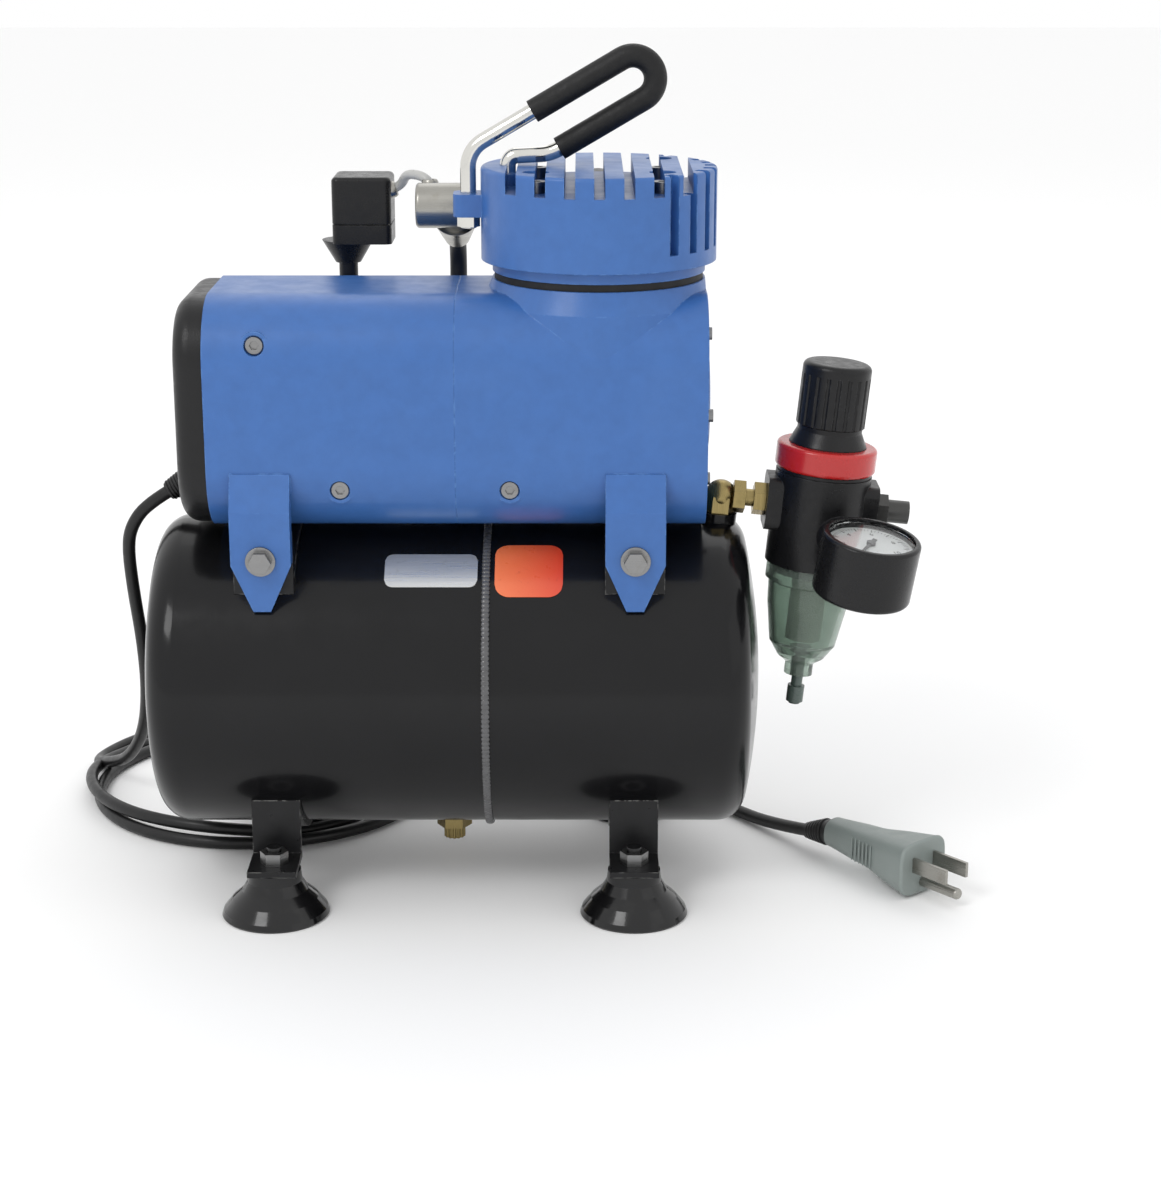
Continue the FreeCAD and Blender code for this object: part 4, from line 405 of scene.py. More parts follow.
def clear_bowl(colours):
    """Smoky green polycarbonate with a faint film of water and dust."""
    finish = Finish("bowl_polycarbonate", (0.42, 0.52, 0.45), 0.09)
    finish.set("Transmission Weight", 0.82)
    finish.set("IOR", 1.45)
    film = finish.ramp(finish.noise(120.0, 6.0, 0.65), 0.45, 0.8, 0.0, 0.6)
    finish.blend_colour(film, (0.24, 0.30, 0.25))
    finish.rough(finish.noise(180.0, 5.0), 0.06)
    finish.bump(finish.noise(240.0, 2.0), 0.00002)
    return finish.material


def bowl_drain_plastic(colours):
    """Grey-green plastic of the drain under the bowl."""
    finish = Finish("drain_grey_plastic", (0.07, 0.095, 0.085), 0.28)
    finish.soften_edges(0.0004)
    finish.tint(finish.noise(90.0), 1.5)
    finish.rough(finish.noise(220.0), 0.08)
    finish.bump(finish.noise(900.0, 2.0), 0.00002)
    return finish.material


def sintered_filter(colours):
    """Pale sintered beads of the filter element."""
    finish = Finish("filter_sintered", (0.72, 0.72, 0.60), 0.75)
    beads = finish.cells(1600.0)
    finish.tint(beads, 0.6)
    finish.rough(finish.noise(300.0), 0.1)
    finish.bump(beads, 0.0003)
    return finish.material


def grey_plug(colours):
    """Grey moulded plug, soft to the touch and a little scuffed."""
    finish = Finish("plug_grey_plastic", colours.plug, 0.42)
    finish.tint(finish.noise(45.0, 4.0), 1.25)
    scuffs = finish.ramp(finish.noise(230.0, 7.0, 0.7), 0.6, 0.8, 0.0, 0.4)
    finish.blend_colour(scuffs, (0.32, 0.34, 0.33))
    finish.rough(finish.noise(150.0, 5.0), 0.08)
    finish.bump(finish.cells(1700.0), 0.00003)
    return finish.material


def cord_sheath(colours):
    """Black rubber-like sheath, faintly ridged by the cores twisted inside."""
    finish = Finish("cord_sheath_black", (0.007, 0.007, 0.0073), 0.38, gloss=0.35)
    finish.tint(finish.noise(90.0, 5.0), 2.2)
    finish.blend_colour(finish.ramp(finish.noise(420.0, 6.0), 0.6, 0.82, 0.0, 0.3), (0.05, 0.05, 0.05))
    finish.rough(finish.noise(260.0, 4.0), 0.08)
    finish.bump(finish.noise(160.0, 2.0), 0.00012)
    finish.bump(finish.noise(1500.0, 2.0), 0.00002)
    return finish.material


def dial_white(colours):
    """Printed enamel dial."""
    finish = Finish("dial_white_enamel", (0.83, 0.85, 0.84), 0.35)
    finish.tint(finish.noise(120.0, 3.0), 0.93)
    finish.rough(finish.noise(240.0), 0.06)
    finish.bump(finish.noise(1500.0), 0.000008)
    return finish.material


def dial_ink(colours):
    finish = Finish("dial_black_ink", (0.012, 0.012, 0.014), 0.45)
    finish.tint(finish.noise(2000.0), 2.2)
    finish.rough(finish.noise(1500.0), 0.08)
    finish.bump(finish.noise(4000.0), 0.000004)
    return finish.material


def gauge_glass(colours):
    """Thin clear lens with faint wipe marks."""
    finish = Finish("gauge_lens_glass", (0.97, 0.98, 0.98), 0.03)
    finish.set("Transmission Weight", 1.0)
    finish.set("IOR", 1.25)
    wipes = finish.noise(1.0, 3.0, 0.5, finish.stretched((500.0, 40.0, 40.0)))
    finish.rough(wipes, 0.02)
    finish.bump(finish.noise(60.0, 2.0), 0.000004)
    return finish.material


def clear_tube(colours):
    """Milky nylon tube from the pressure switch."""
    finish = Finish("tube_milky_nylon", (0.62, 0.62, 0.60), 0.32)
    finish.set("Transmission Weight", 0.25)
    finish.tint(finish.noise(200.0, 4.0), 0.8)
    finish.rough(finish.noise(220.0), 0.07)
    finish.bump(finish.noise(500.0), 0.00002)
    return finish.material


def label_foil(colours):
    """Brushed silver foil of the plain label strip."""
    finish = Finish("label_silver_foil", (0.78, 0.78, 0.76), 0.34, metallic=0.75)
    streaks = finish.noise(1.0, 3.0, 0.5, finish.stretched((30.0, 1800.0, 1800.0)))
    finish.tint(streaks, 0.78)
    finish.rough(streaks, 0.1)
    finish.blend_colour(finish.ramp(finish.noise(300.0, 6.0), 0.6, 0.8, 0.0, 0.35), (0.42, 0.41, 0.38))
    finish.bump(streaks, 0.00001)
    return finish.material


def label_orange(colours):
    """Orange-red printed block that darkens towards one end."""
    finish = Finish("label_orange_print", (0.72, 0.055, 0.02), 0.32, coat=0.3)
    split = finish.node("ShaderNodeSeparateXYZ", {"Vector": finish.place})
    fade = finish.ramp(split.outputs["X"], 0.018, 0.046)
    finish.blend_colour(finish.math("SUBTRACT", 1.0, fade), (0.86, 0.20, 0.07))
    finish.rough(finish.noise(200.0, 5.0), 0.06)
    finish.tint(finish.ramp(finish.noise(420.0, 6.0), 0.62, 0.8, 0.0, 0.5), 0.6)
    finish.bump(finish.noise(700.0), 0.000008)
    return finish.material


def weld_metal(colours):
    """Weld ripples coloured much lighter than the tank's black, brighter in random patches: a painted highlight
    along the seam.
    """
    # Painted highlight: the weld's colour is set far above the tank's black so the seam reads as a light line.
    finish = Finish("weld_painted", (0.045, 0.045, 0.047), 0.25, coat=0.3)
    finish.tint(finish.noise(260.0, 5.0), 2.6)
    finish.rough(finish.noise(500.0, 5.0), 0.1)
    finish.bump(finish.noise(1200.0, 3.0), 0.00004)
    return finish.material


# Names, colours, roughness, the axis of the tool marks, tarnish and the spread of roughness.
TURNED_METALS = {
    # zinc_steel: plated steel coloured darker than bare zinc, as painted shade for screws sitting in recesses.
    "zinc_steel": ("zinc_plated_steel", (0.30, 0.30, 0.30), 0.34, 2, (0.17, 0.15, 0.12)),
    "chromed_steel": ("handle_chromed_steel", (0.78, 0.77, 0.73), 0.13, 0, None, 0.05),
    "brass": ("fitting_brass", (0.36, 0.28, 0.12), 0.30, 0, (0.12, 0.10, 0.04)),
    "nickel_brass": ("fitting_nickel", (0.40, 0.39, 0.36), 0.32, 2, (0.22, 0.20, 0.16)),
    "bare_aluminium": ("cast_aluminium", (0.66, 0.67, 0.68), 0.38, 1, (0.40, 0.40, 0.40)),
    "core_steel": ("laminated_steel", (0.26, 0.26, 0.27), 0.40, 0, (0.16, 0.12, 0.09)),
    "outlet_fitting": ("outlet_dark_nickel", (0.09, 0.09, 0.088), 0.34, 2, (0.05, 0.045, 0.04)),
}
# Names, roughness and grain of the mouldings; names, shade, roughness and grain of the rubbers.
MOULDINGS = {
    "cap_black": ("cap_black_plastic", 0.36, 1500.0),
    "switch_black": ("switch_black_plastic", 0.30, 1900.0),
    "knob_black": ("regulator_black_plastic", 0.33, 1700.0),
    "gauge_black": ("gauge_black_case", 0.24, 2200.0),
}
RUBBERS = {
    "dark_rubber": ("hose_black_rubber", 0.010, 0.42, 900.0),
    "gasket": ("gasket_rubber", 0.008, 0.6, 700.0),
}
FINISHES = {
    "tank_black": tank_black,
    "body_blue": housing_blue,
    "bracket_black": black_bracket,
    "foot_rubber": glossy_rubber,
    "copper_wire": enamelled_copper,
    "ring_red": red_ring,
    "bowl_clear": clear_bowl,
    "filter_white": sintered_filter,
    "needle_black": dial_ink,
    "cord_black": cord_sheath,
    "plug_grey": grey_plug,
    "handle_grip": foam_grip,
    "bowl_drain": bowl_drain_plastic,
    "dial_white": dial_white,
    "dial_ink": dial_ink,
    "gauge_glass": gauge_glass,
    "clear_tube": clear_tube,
    "label_foil": label_foil,
    "label_orange": label_orange,
    "weld_metal": weld_metal,
}
# Nodes whose finish differs from their slot's.
NODE_FINISHES = ("handle_grip", "bowl_drain", "outlet_fitting")
MADE = {}


def finish_for(key):
    """The material for a slot, node or extra piece, made once."""
    if key not in MADE:
        for table, maker in ((TURNED_METALS, turned_metal), (MOULDINGS, moulded_black),
                             (RUBBERS, matt_rubber)):
            if key in table:
                MADE[key] = maker(*table[key])
                break
        else:
            MADE[key] = FINISHES[key](bpy.context.scene.compressor_colours)
    return MADE[key]


# ---------------------------------------------------------------- mesh helpers
def add_piece(name, mesh, material, body):
    """A finished mesh as a piece of the object."""
    piece = bpy.data.objects.new(name, mesh)
    bpy.context.scene.collection.objects.link(piece)
    mesh.materials.clear()
    mesh.materials.append(material)
    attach(piece, body)
    return piece


def smoothed(mesh, angle=35.0):
    """Smooth faces, with the edges sharper than angle kept sharp."""
    made = bmesh.new()
    made.from_mesh(mesh)
    bmesh.ops.remove_doubles(made, verts=made.verts, dist=1e-7)
    bmesh.ops.recalc_face_normals(made, faces=made.faces)
    for face in made.faces:
        face.smooth = True
    for edge in made.edges:
        if len(edge.link_faces) == 2:
            edge.smooth = edge.calc_face_angle(0.0) < math.radians(angle)
    made.to_mesh(mesh)
    made.free()
    return mesh


def skin(rings, name, closed_ends=True):
    """A mesh over rings of points, each ring with the same number of them."""
    made = bmesh.new()
    rows = [[made.verts.new(p) for p in ring] for ring in rings]
    count = len(rings[0])
    for lower, upper in zip(rows, rows[1:]):
        for k in range(count):
            made.faces.new((lower[k], lower[(k + 1) % count], upper[(k + 1) % count], upper[k]))
    if closed_ends:
        made.faces.new(rows[0])
        made.faces.new(list(reversed(rows[-1])))
    mesh = bpy.data.meshes.new(name)
    made.to_mesh(mesh)
    made.free()
    return smoothed(mesh)


def turned(profile, name, steps=64):
    """A closed (radius, height) outline turned about Z."""
    rings = []
    for k in range(steps):
        angle = 2 * math.pi * k / steps
        rings.append([Vector((r * math.cos(angle), r * math.sin(angle), z)) for r, z in profile])
    rings.append(rings[0])
    return skin(rings, name, closed_ends=False)


def moved(mesh, matrix):
    mesh.transform(matrix)
    return mesh


def facing(axis, upward, place):
    """A frame at place whose Z is axis and whose Y is nearest upward."""
    z = axis.normalized()
    y = (upward - z * upward.dot(z)).normalized()
    x = y.cross(z)
    turn = Matrix((x, y, z)).transposed().to_4x4()
    return Matrix.Translation(place) @ turn


# ---------------------------------------------------------------- Geometry Nodes
class Repeat(Tree):
    """A Geometry Nodes tree with named inputs that ends in Realize Instances and Set Material."""

    def __init__(self, name, floats, count):
        super().__init__(bpy.data.node_groups.new(name, "GeometryNodeTree"))
        self.tree.is_modifier = True
        face = self.tree.interface
        for label, default in floats:
            face.new_socket(label, in_out="INPUT", socket_type="NodeSocketFloat").default_value = default
        face.new_socket("Count", in_out="INPUT", socket_type="NodeSocketInt").default_value = count
        face.new_socket("Material", in_out="INPUT", socket_type="NodeSocketMaterial")
        face.new_socket("Geometry", in_out="OUTPUT", socket_type="NodeSocketGeometry")
        self.inputs = self.node("NodeGroupInput")
        self.result = self.node("NodeGroupOutput")
        self.index = self.node("GeometryNodeInputIndex").outputs["Index"]

    def vector(self, x=0.0, y=0.0, z=0.0):
        return self.node("ShaderNodeCombineXYZ", {"X": x, "Y": y, "Z": z}).outputs["Vector"]

    def finish(self, instance, place=None, turn=None, scale=None):
        """One instance for each repeat, placed and turned by fields, realised and given the material."""
        points = self.node("GeometryNodeMeshLine", {"Count": "Count", "Offset": (0.0, 0.0, 0.0)},
                           mode="OFFSET").outputs["Mesh"]
        if place is not None:
            points = self.node("GeometryNodeSetPosition",
                               {"Geometry": points, "Position": place}).outputs["Geometry"]
        made = self.node("GeometryNodeInstanceOnPoints", {"Points": points, "Instance": instance})
        for label, value in (("Rotation", turn), ("Scale", scale)):
            if value is not None:
                self.feed(made.inputs[label], value)
        made = made.outputs["Instances"]
        for kind in ("GeometryNodeRealizeInstances", "GeometryNodeSetShadeSmooth"):
            made = self.node(kind, {"Geometry": made}).outputs["Geometry"]
        paint = self.node("GeometryNodeSetMaterial", {"Geometry": made, "Material": "Material"})
        self.feed(self.result.inputs["Geometry"], paint.outputs["Geometry"])


def mesh_from_tree(repeat, name, material, **values):
    """The tree's result as a plain mesh."""
    holder = bpy.data.objects.new(name, bpy.data.meshes.new(name + "_seed"))
    modifier = holder.modifiers.new("Repeat", "NODES")
    modifier.node_group = repeat.tree
    sockets = {s.name: s.identifier for s in repeat.tree.interface.items_tree
               if s.item_type == "SOCKET" and s.in_out == "INPUT"}
    for label, value in values.items():
        modifier[sockets[label.replace("_", " ")]] = value
    modifier[sockets["Material"]] = material
    bpy.context.scene.collection.objects.link(holder)
    bpy.context.view_layer.update()
    graph = bpy.context.evaluated_depsgraph_get()
    mesh = bpy.data.meshes.new_from_object(holder.evaluated_get(graph))
    holder.modifiers.clear()
    bpy.data.objects.remove(holder)
    mesh.name = name
    return mesh


def unit_ball(repeat, segments, rings):
    return repeat.node("GeometryNodeMeshUVSphere",
                       {"Segments": segments, "Rings": rings, "Radius": 1.0}).outputs["Mesh"]


def weld_tree():
    """Ripples side by side round a circle, like a machine weld."""
    repeat = Repeat("weld_ripples", (("Radius", TANK_RADIUS), ("Ripple Width", 0.002),
                                     ("Ripple Height", 0.0008)), 200)
    step = repeat.math("DIVIDE", 2 * math.pi, "Count")
    angle = repeat.math("MULTIPLY", repeat.index, step)
    length = repeat.math("MULTIPLY", "Radius", repeat.math("MULTIPLY", step, 0.85))
    place = repeat.vector(repeat.math("MULTIPLY", "Radius", repeat.math("COSINE", angle, 0.0)),
                          repeat.math("MULTIPLY", "Radius", repeat.math("SINE", angle, 0.0)))
    repeat.finish(unit_ball(repeat, 12, 7), place, repeat.vector(0.0, 0.0, angle),
                  repeat.vector("Ripple Height", length, "Ripple Width"))
    return repeat


def relief_tree():
    """Ribs of growing radius along Z, for a moulded strain relief."""
    repeat = Repeat("relief_ribs", (("First Radius", 0.0038), ("Last Radius", 0.005), ("Pitch", 0.0018),
                                    ("Rib Radius", 0.0007)), 6)
    share = repeat.math("DIVIDE", repeat.index, repeat.math("SUBTRACT", "Count", 1.0))
    growth = repeat.math("MULTIPLY", share, repeat.math("SUBTRACT", "Last Radius", "First Radius"))
    radius = repeat.math("ADD", "First Radius", growth)
    circle = repeat.node("GeometryNodeCurvePrimitiveCircle", {"Resolution": 40, "Radius": 1.0}, mode="RADIUS")
    thickness = repeat.math("DIVIDE", "Rib Radius", "Last Radius")
    profile = repeat.node("GeometryNodeCurvePrimitiveCircle", {"Resolution": 10, "Radius": thickness},
                          mode="RADIUS")
    solid = repeat.node("GeometryNodeCurveToMesh", {"Curve": circle.outputs["Curve"],
                                                    "Profile Curve": profile.outputs["Curve"]})
    place = repeat.vector(0.0, 0.0, repeat.math("MULTIPLY", repeat.index, "Pitch"))
    repeat.finish(solid.outputs["Mesh"], place, None, repeat.vector(radius, radius, "Last Radius"))
    return repeat


def dial_tree():
    """Marks round a scale, from one angle to another."""
    repeat = Repeat("dial_marks", (("Mark Radius", 0.0145), ("Mark Length", 0.0016), ("Mark Width", 0.0002),
                                   ("First Angle", 2.356), ("Sweep", 4.712)), 51)
    step = repeat.math("DIVIDE", "Sweep", repeat.math("SUBTRACT", "Count", 1.0))
    angle = repeat.math("SUBTRACT", "First Angle", repeat.math("MULTIPLY", repeat.index, step))
    mark = repeat.node("GeometryNodeMeshCube", {"Size": repeat.vector("Mark Width", "Mark Length", 0.00006)})
    outward = repeat.node("GeometryNodeTransform", {"Geometry": mark.outputs["Mesh"],
                                                    "Translation": repeat.vector(0.0, "Mark Radius", 0.0)})
    repeat.finish(outward.outputs["Geometry"], None, repeat.vector(0.0, 0.0, angle))
    return repeat


# ---------------------------------------------------------------- the cord
def gap_to_run(point, first, last):
    """Distance on the floor from a point to a straight run."""
    run = last - first
    share = max(0.0, min(1.0, (point - first).dot(run) / run.length_squared))
    return (point - first - run * share).length


def coil_line():
    """The coil's control points: each point rests on the turns that lie under it."""
    count = round(COIL_TURNS * COIL_POINTS_PER_TURN)
    flat = []
    for k in range(count + 1):
        share = k / count
        angle = COIL_FIRST_ANGLE - 2 * math.pi * COIL_TURNS * share
        centre = COIL_FIRST_CENTRE.lerp(COIL_LAST_CENTRE, share)
        radius = COIL_FIRST_RADIUS + (COIL_LAST_RADIUS - COIL_FIRST_RADIUS) * share
        flat.append(centre + Vector((math.cos(angle), math.sin(angle))) * radius)
    diameter = 2 * CORD_RADIUS * 1.06
    heights = [FLOOR_LINE] * (count + 1)
    for k in range(count, -1, -1):
        for near in (k - 1, k, k + 1):
            if not 0 <= near <= count:
                continue
            for j in range(k + COIL_POINTS_PER_TURN // 2, count):
                gap = gap_to_run(flat[near], flat[j], flat[j + 1])
                if gap < diameter:
                    rest = max(heights[j], heights[j + 1]) + math.sqrt(diameter ** 2 - gap ** 2)
                    heights[k] = max(heights[k], rest)
    return [(p.x, p.y, z) for p, z in zip(flat, heights)]


def routed_curve(name, points, radius, material, resolution=6):
    """One open, smooth NURBS spline through a route's control points, with a round section."""
    curve = bpy.data.curves.new(name, "CURVE")
    curve.dimensions = "3D"
    spline = curve.splines.new("NURBS")
    spline.points.add(len(points) - 1)
    for target, point in zip(spline.points, points):
        target.co = (*point, 1.0)
    spline.order_u = 3
    spline.use_endpoint_u = True
    curve.resolution_u = resolution
    curve.bevel_depth = radius
    curve.bevel_resolution = 5
    curve.use_fill_caps = True
    curve.materials.append(material)
    piece = bpy.data.objects.new(name, curve)
    bpy.context.scene.collection.objects.link(piece)
    return piece


def cord_route():
    return [CORD_EXIT] + DROP_ROUTE + coil_line() + TAIL_ROUTE


# ---------------------------------------------------------------- the plug
PLUG_FIRST = 0.012
PLUG_LAST = 0.064
PLUG_NECK = 0.0125
PLUG_WIDTH = 0.0275
PLUG_HEIGHT = 0.0235


def plug_frame():
    """Z along the plug towards its blades, Y up."""
    return facing(PLUG_AXIS, UP, PLUG_BASE)


def plug_section(width, height, place, squareness=3.4, steps=56):
    """A ring between an ellipse and a box."""
    ring = []
    for k in range(steps):
        angle = 2 * math.pi * k / steps
        c, s = math.cos(angle), math.sin(angle)
        x = math.copysign(abs(c) ** (2 / squareness), c) * width / 2
        y = math.copysign(abs(s) ** (2 / squareness), s) * height / 2
        ring.append(Vector((x, y, place)))
    return ring


def plug_mesh():
    """A flared plug: a narrow neck, waisted finger grips, and a flat face with a rounded edge."""
    rings = []
    length = PLUG_LAST - PLUG_FIRST
    steps = 44
    for k in range(steps + 1):
        share = k / steps
        flare = share ** 1.25
        width = PLUG_NECK + (PLUG_WIDTH - PLUG_NECK) * flare
        height = PLUG_NECK + (PLUG_HEIGHT - PLUG_NECK) * flare
        waist = 0.0009 * math.exp(-((share - 0.50) / 0.14) ** 2)
        place = PLUG_FIRST + length * share
        rings.append(plug_section(width - 2 * waist, height - waist, place, 2.4 + 1.8 * share))
    lip = 0.0011
    rings[0] = plug_section(PLUG_NECK - lip, PLUG_NECK - lip, PLUG_FIRST, 2.4)
    rings.insert(1, plug_section(PLUG_NECK, PLUG_NECK, PLUG_FIRST + lip / 2, 2.4))
    rings[-1] = plug_section(PLUG_WIDTH, PLUG_HEIGHT, PLUG_LAST - lip, 4.2)
    for shrink, inset in ((0.0004, lip * 0.35), (0.0010, lip * 0.1), (0.0022, 0.0), (0.0050, 0.0)):
        rings.append(plug_section(PLUG_WIDTH - shrink, PLUG_HEIGHT - shrink, PLUG_LAST - inset, 4.2))
    return skin(rings, "plug_moulding")


def grip_rib_tree():
    """Short ribs side by side along Z, on one side of the plug."""
    repeat = Repeat("plug_grip_ribs", (("Pitch", 0.0024), ("Rib Length", 0.011), ("Rib Radius", 0.0005),
                                       ("Spread", 0.0)), 6)
    place = repeat.vector(repeat.math("MULTIPLY", repeat.index, "Spread"), 0.0,
                          repeat.math("MULTIPLY", repeat.index, "Pitch"))
    scale = repeat.vector("Rib Radius", repeat.math("DIVIDE", "Rib Length", 2.0), "Rib Radius")
    repeat.finish(unit_ball(repeat, 16, 10), place, None, scale)
    return repeat


# ---------------------------------------------------------------- operators
class COMPRESSOR_OT_stage(bpy.types.Operator):
    """Adds the floor, the studio lights and the camera."""

    bl_idname = "compressor.stage"
    bl_label = "Stage"

    def execute(self, context):
        scene = context.scene
        camera = bpy.data.cameras.new("front_view")
        camera.lens = 74.2
        camera.sensor_width = 36.0
        camera.sensor_fit = "AUTO"
        viewer = bpy.data.objects.new("front_view", camera)
        viewer.location = (0.0531, -1.0, 0.4103)
        target = Vector((0.0531, 0.0, 0.1163))
        viewer.rotation_euler = (target - viewer.location).to_track_quat("-Z", "Y").to_euler()
        scene.collection.objects.link(viewer)
        scene.camera = viewer

        floor = bpy.data.meshes.new("studio_floor")
        half = 6.0
        floor.from_pydata([(-half, -half, 0), (half, -half, 0), (half, half, 0), (-half, half, 0)], [],
                          [(0, 1, 2, 3)])
        ground = bpy.data.objects.new("studio_floor", floor)
        scene.collection.objects.link(ground)
        paper = Finish("studio_paper", (0.96, 0.96, 0.96), 0.8)
        floor.materials.append(paper.material)

        world = bpy.data.worlds.new("studio_world")
        world.use_nodes = True
        backdrop = world.node_tree.nodes["Background"]
        backdrop.inputs["Color"].default_value = (1.0, 1.0, 1.0, 1.0)
        backdrop.inputs["Strength"].default_value = 1.0
        scene.world = world
        for name, place, aim, size, power in (
                ("key_light", (-0.9, -1.1, 1.5), (0.0, 0.0, 0.15), 0.7, 9.0),
                ("fill_light", (1.3, -0.9, 0.9), (0.05, 0.0, 0.15), 1.2, 0.8),
                ("back_light", (0.2, 1.4, 1.6), (0.0, 0.0, 0.2), 1.2, 3.0)):
            lamp = bpy.data.lights.new(name, "AREA")
            lamp.energy = power
            lamp.size = size
            holder = bpy.data.objects.new(name, lamp)
            holder.location = place
            aimed = Vector(aim) - Vector(place)
            holder.rotation_euler = aimed.to_track_quat("-Z", "Y").to_euler()
            scene.collection.objects.link(holder)
        scene.view_settings.view_transform = "Standard"
        return {"FINISHED"}


class COMPRESSOR_OT_cord(bpy.types.Operator):
    """Lays the mains cord: down from the end cap, round the coil and along the floor to the plug."""

    bl_idname = "compressor.cord"
    bl_label = "Mains cord"

    def execute(self, context):
        sizes = context.scene.compressor_sizes
        cord = routed_curve("mains_cord", cord_route(), sizes.cord_diameter / 2, finish_for("cord_black"))
        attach(cord, "frame")
        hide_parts("cord_drop", "cord_coil", "cord_tail")

        plug = add_piece("plug_moulding", moved(plug_mesh(), plug_frame()), finish_for("plug_grey"),
                         "frame")
        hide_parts("plug_body")
        tree = relief_tree()
        lean = PLUG_BASE + PLUG_AXIS * 0.014 - RELIEF_START
        mesh = mesh_from_tree(tree, "plug_relief_ribs", finish_for("cord_black"),
                              First_Radius=0.0037, Last_Radius=0.0053, Pitch=0.0018, Rib_Radius=0.0006,
                              Count=sizes.relief_ribs)
        moved(mesh, facing(lean, UP, RELIEF_START + lean.normalized() * 0.0022))
        add_piece("plug_relief_ribs", mesh, finish_for("cord_black"), "frame")
        mesh = mesh_from_tree(tree, "gland_ribs", finish_for("cord_black"),
                              First_Radius=0.0041, Last_Radius=0.0049, Pitch=0.0014, Rib_Radius=0.0005,
                              Count=sizes.relief_ribs)
        gland_axis = Vector((-0.848, 0.0, -0.530)).normalized()
        moved(mesh, facing(-gland_axis, UP, Vector(CORD_EXIT) - gland_axis * 0.0012))
        add_piece("gland_ribs", mesh, finish_for("cord_black"), "frame")
        for side in (-1, 1):
            name = "plug_grip_left" if side < 0 else "plug_grip_right"
            mesh = mesh_from_tree(grip_rib_tree(), name, finish_for("plug_grey"), Spread=side * 0.0003)
            moved(mesh, plug_frame() @ Matrix.Translation((side * 0.0085, 0.0, 0.031)))
            add_piece(name, mesh, finish_for("plug_grey"), "frame")
        return {"FINISHED"}


class COMPRESSOR_OT_finishes(bpy.types.Operator):
    """Gives every CAD node its detailed finish."""

    bl_idname = "compressor.finishes"
    bl_label = "Finishes"

    def execute(self, context):
        slots = {part["node"]: part["material_slot"] for part in frame["record"]["subparts"]}
        for name, node in frame["nodes"].items():
            key = name if name in NODE_FINISHES else slots[name]
            for place in node.material_slots:
                place.material = finish_for(key)
        return {"FINISHED"}


class COMPRESSOR_OT_weld(bpy.types.Operator):
    """Adds the ripples of the weld round the tank, coloured lighter than the tank as a painted highlight along the
    seam.
    """

    bl_idname = "compressor.weld"
    bl_label = "Tank weld"

    def execute(self, context):
        sizes = context.scene.compressor_sizes
        mesh = mesh_from_tree(weld_tree(), "weld_ripples", finish_for("weld_metal"),
                              Radius=TANK_RADIUS + 0.0009, Ripple_Width=0.0017, Ripple_Height=0.0008,
                              Count=sizes.weld_ripples)
        moved(mesh, facing(Vector((1.0, 0.0, 0.0)), UP, Vector((WELD_X, 0.0, TANK_Z))))
        add_piece("weld_ripples", mesh, finish_for("weld_metal"), "frame")
        return {"FINISHED"}


def label_patch(name, left, right, low, high, corner):
    """A thin sheet with round corners, laid on the tank's front between two angles of elevation."""
    proud = 0.00025
    radius = TANK_RADIUS + proud
    width, height = right - left, radius * (high - low)
    columns, rows = 48, 20
    made = bmesh.new()
    grid = []
    for i in range(columns + 1):
        across = width * i / columns
        edge = max(0.0, corner - min(across, width - across))
        cut = corner - math.sqrt(max(0.0, corner ** 2 - edge ** 2))
        column = []
        for j in range(rows + 1):
            climb = cut + (height - 2 * cut) * j / rows
            angle = low + climb / radius
            column.append(made.verts.new((left + across, -radius * math.cos(angle),
                                          TANK_Z + radius * math.sin(angle))))
        grid.append(column)
    for i in range(columns):
        for j in range(rows):
            made.faces.new((grid[i][j], grid[i + 1][j], grid[i + 1][j + 1], grid[i][j + 1]))
    mesh = bpy.data.meshes.new(name)
    bmesh.ops.solidify(made, geom=made.faces[:], thickness=0.00022)
    made.to_mesh(mesh)
    made.free()
    return smoothed(mesh)


class COMPRESSOR_OT_label(bpy.types.Operator):
    """Adds a plain two-part label to the tank: a silver strip and an orange block, with no wording."""

    bl_idname = "compressor.label"
    bl_label = "Tank label"

    def execute(self, context):
        low, high = math.radians(47), math.radians(62)
        silver = label_patch("label_strip", -0.026, 0.0115, low, high, 0.0035)
        add_piece("label_strip", silver, finish_for("label_foil"), "frame")
        orange = label_patch("label_block", 0.0185, 0.046, math.radians(43), math.radians(67), 0.006)
        add_piece("label_block", orange, finish_for("label_orange"), "frame")
        return {"FINISHED"}


def gauge_frame():
    """Z up through the dial, Y towards its twelve o'clock, which is the regulator's side."""
    middle, axis = joint_axis("needle_swing")
    low, high = node_box("regulator_body")
    body = (low + high) / 2
    return facing(-axis, body - middle, middle)


DIAL_FLOOR = -0.005
DIAL_THICKNESS = 0.0004
DIAL_RADIUS = 0.0173


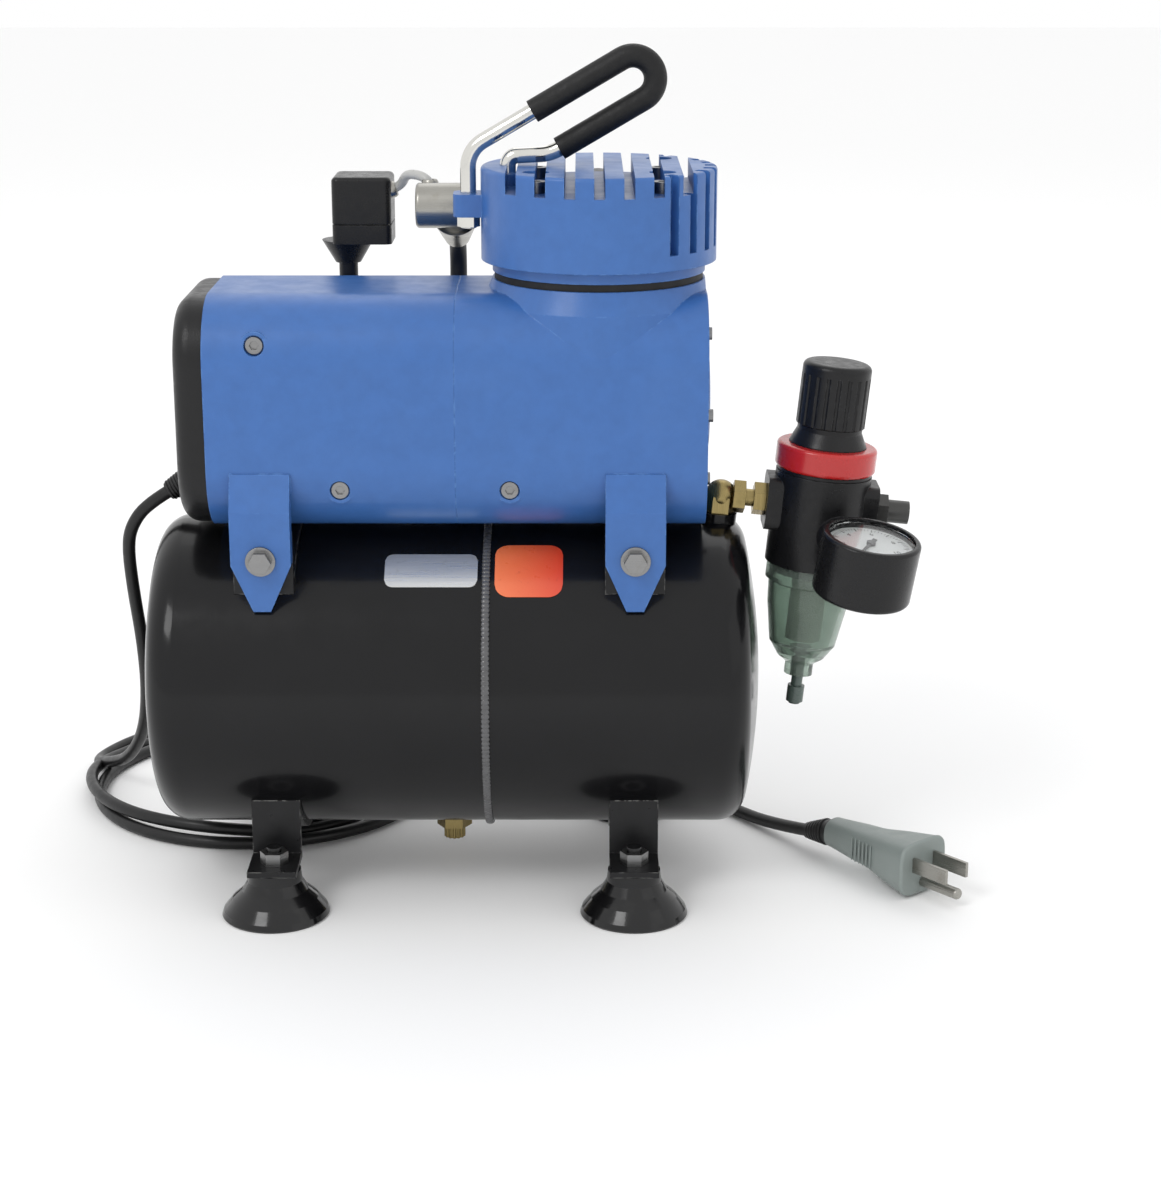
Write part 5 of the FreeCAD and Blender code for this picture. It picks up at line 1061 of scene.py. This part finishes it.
class COMPRESSOR_OT_gauge(bpy.types.Operator):
    """Adds the gauge's dial, marks, numbers and lens."""

    bl_idname = "compressor.gauge"
    bl_label = "Gauge face"

    def execute(self, context):
        sizes = context.scene.compressor_sizes
        place = gauge_frame()
        floor, top = DIAL_FLOOR + 0.00003, DIAL_FLOOR + DIAL_THICKNESS
        dial = turned([(0.0012, floor), (DIAL_RADIUS, floor), (DIAL_RADIUS, top), (0.0012, top),
                       (0.0012, floor)], "gauge_dial")
        add_piece("gauge_dial", moved(dial, place), finish_for("dial_white"), "frame")
        raised = place @ Matrix.Translation((0.0, 0.0, top + 0.00002))
        tree = dial_tree()
        for name, count, length, width in (("gauge_small_marks", sizes.dial_marks + 1, 0.0014, 0.00018),
                                           ("gauge_large_marks", 11, 0.0024, 0.00042)):
            marks = mesh_from_tree(tree, name, finish_for("dial_ink"), Mark_Radius=0.0158 - length / 2,
                                   Mark_Length=length, Mark_Width=width, Count=count)
            add_piece(name, moved(marks, raised), finish_for("dial_ink"), "frame")
        for k in range(0, 11, 2):
            angle = math.radians(135 - 27 * k)
            text = bpy.data.curves.new("number", "FONT")
            text.body = str(k)
            text.size = 0.0034
            text.align_x = "CENTER"
            text.align_y = "CENTER"
            text.extrude = 0.00003
            writer = bpy.data.objects.new("number", text)
            bpy.context.scene.collection.objects.link(writer)
            bpy.context.view_layer.update()
            graph = bpy.context.evaluated_depsgraph_get()
            mesh = bpy.data.meshes.new_from_object(writer.evaluated_get(graph))
            bpy.data.objects.remove(writer)
            spot = Matrix.Translation((-0.0112 * math.sin(angle), 0.0112 * math.cos(angle), 0.0))
            add_piece(f"gauge_number_{k}", moved(mesh, raised @ spot), finish_for("dial_ink"),
                      "frame")
        lens_low, lens_high = -0.0024, -0.0012
        radius = 0.0174
        lens = turned([(0.00002, lens_low), (radius, lens_low), (radius, lens_high - 0.0004),
                       (radius - 0.0004, lens_high), (0.00002, lens_high + 0.0001), (0.00002, lens_low)],
                      "gauge_lens")
        add_piece("gauge_lens", moved(lens, place), finish_for("gauge_glass"), "frame")
        return {"FINISHED"}


class COMPRESSOR_OT_unloader(bpy.types.Operator):
    """Adds the thin tube from the pressure switch to the discharge elbow."""

    bl_idname = "compressor.unloader"
    bl_label = "Unloader tube"

    def execute(self, context):
        sizes = context.scene.compressor_sizes
        box_low, box_high = node_box("pressure_switch")
        elbow_low, elbow_high = node_box("discharge_elbow")
        start = Vector((box_high.x - 0.002, (box_low.y + box_high.y) / 2 - 0.006, box_high.z - 0.0065))
        end = Vector((elbow_low.x + 0.0055, (elbow_low.y + elbow_high.y) / 2, elbow_high.z - 0.004))
        points = [start, start + Vector((0.006, 0.0, 0.002)), start.lerp(end, 0.45) + UP * 0.007,
                  start.lerp(end, 0.8) + UP * 0.006, end + UP * 0.003, end]
        radius = sizes.unloader_diameter / 2
        tube = routed_curve("unloader_tube", points, radius, finish_for("clear_tube"), 12)
        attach(tube, "frame")
        for name, place, axis in (("unloader_nut_switch", start, Vector((1.0, 0.0, 0.33))),
                                  ("unloader_nut_elbow", end, UP)):
            ring = turned([(radius * 0.9, -0.001), (radius * 1.75, -0.001), (radius * 1.75, 0.0032),
                           (radius * 1.5, 0.0042), (radius * 0.9, 0.0042), (radius * 0.9, -0.001)], name, 24)
            moved(ring, facing(axis, Vector((0.0, 1.0, 0.0)), place))
            add_piece(name, ring, finish_for("nickel_brass"), "frame")
        return {"FINISHED"}


class COMPRESSOR_PT_panel(bpy.types.Panel):
    """The compressor's pieces, sizes and colours."""

    bl_idname = "COMPRESSOR_PT_panel"
    bl_label = "Airbrush Compressor"
    bl_space_type = "VIEW_3D"
    bl_region_type = "UI"
    bl_category = "Compressor"

    def draw(self, context):
        layout = self.layout
        for operator in OPERATORS:
            layout.operator(operator.bl_idname)
        for group in (context.scene.compressor_sizes, context.scene.compressor_colours):
            box = layout.box()
            for name in group.bl_rna.properties.keys():
                if name not in ("rna_type", "name"):
                    box.prop(group, name)


OPERATORS = (COMPRESSOR_OT_stage, COMPRESSOR_OT_cord, COMPRESSOR_OT_finishes, COMPRESSOR_OT_weld,
             COMPRESSOR_OT_label, COMPRESSOR_OT_gauge, COMPRESSOR_OT_unloader)
CLASSES = (CompressorSizes, CompressorColours) + OPERATORS + (COMPRESSOR_PT_panel,)


def register():
    for item in CLASSES:
        bpy.utils.register_class(item)
    bpy.types.Scene.compressor_sizes = bpy.props.PointerProperty(type=CompressorSizes)
    bpy.types.Scene.compressor_colours = bpy.props.PointerProperty(type=CompressorColours)


def unregister():
    del bpy.types.Scene.compressor_colours
    del bpy.types.Scene.compressor_sizes
    for item in reversed(CLASSES):
        bpy.utils.unregister_class(item)


def main():
    register()
    bpy.ops.compressor.stage()
    bpy.ops.compressor.cord()
    bpy.ops.compressor.finishes()
    bpy.ops.compressor.weld()
    bpy.ops.compressor.label()
    bpy.ops.compressor.gauge()
    bpy.ops.compressor.unloader()


if __name__ == "__main__":
    main()
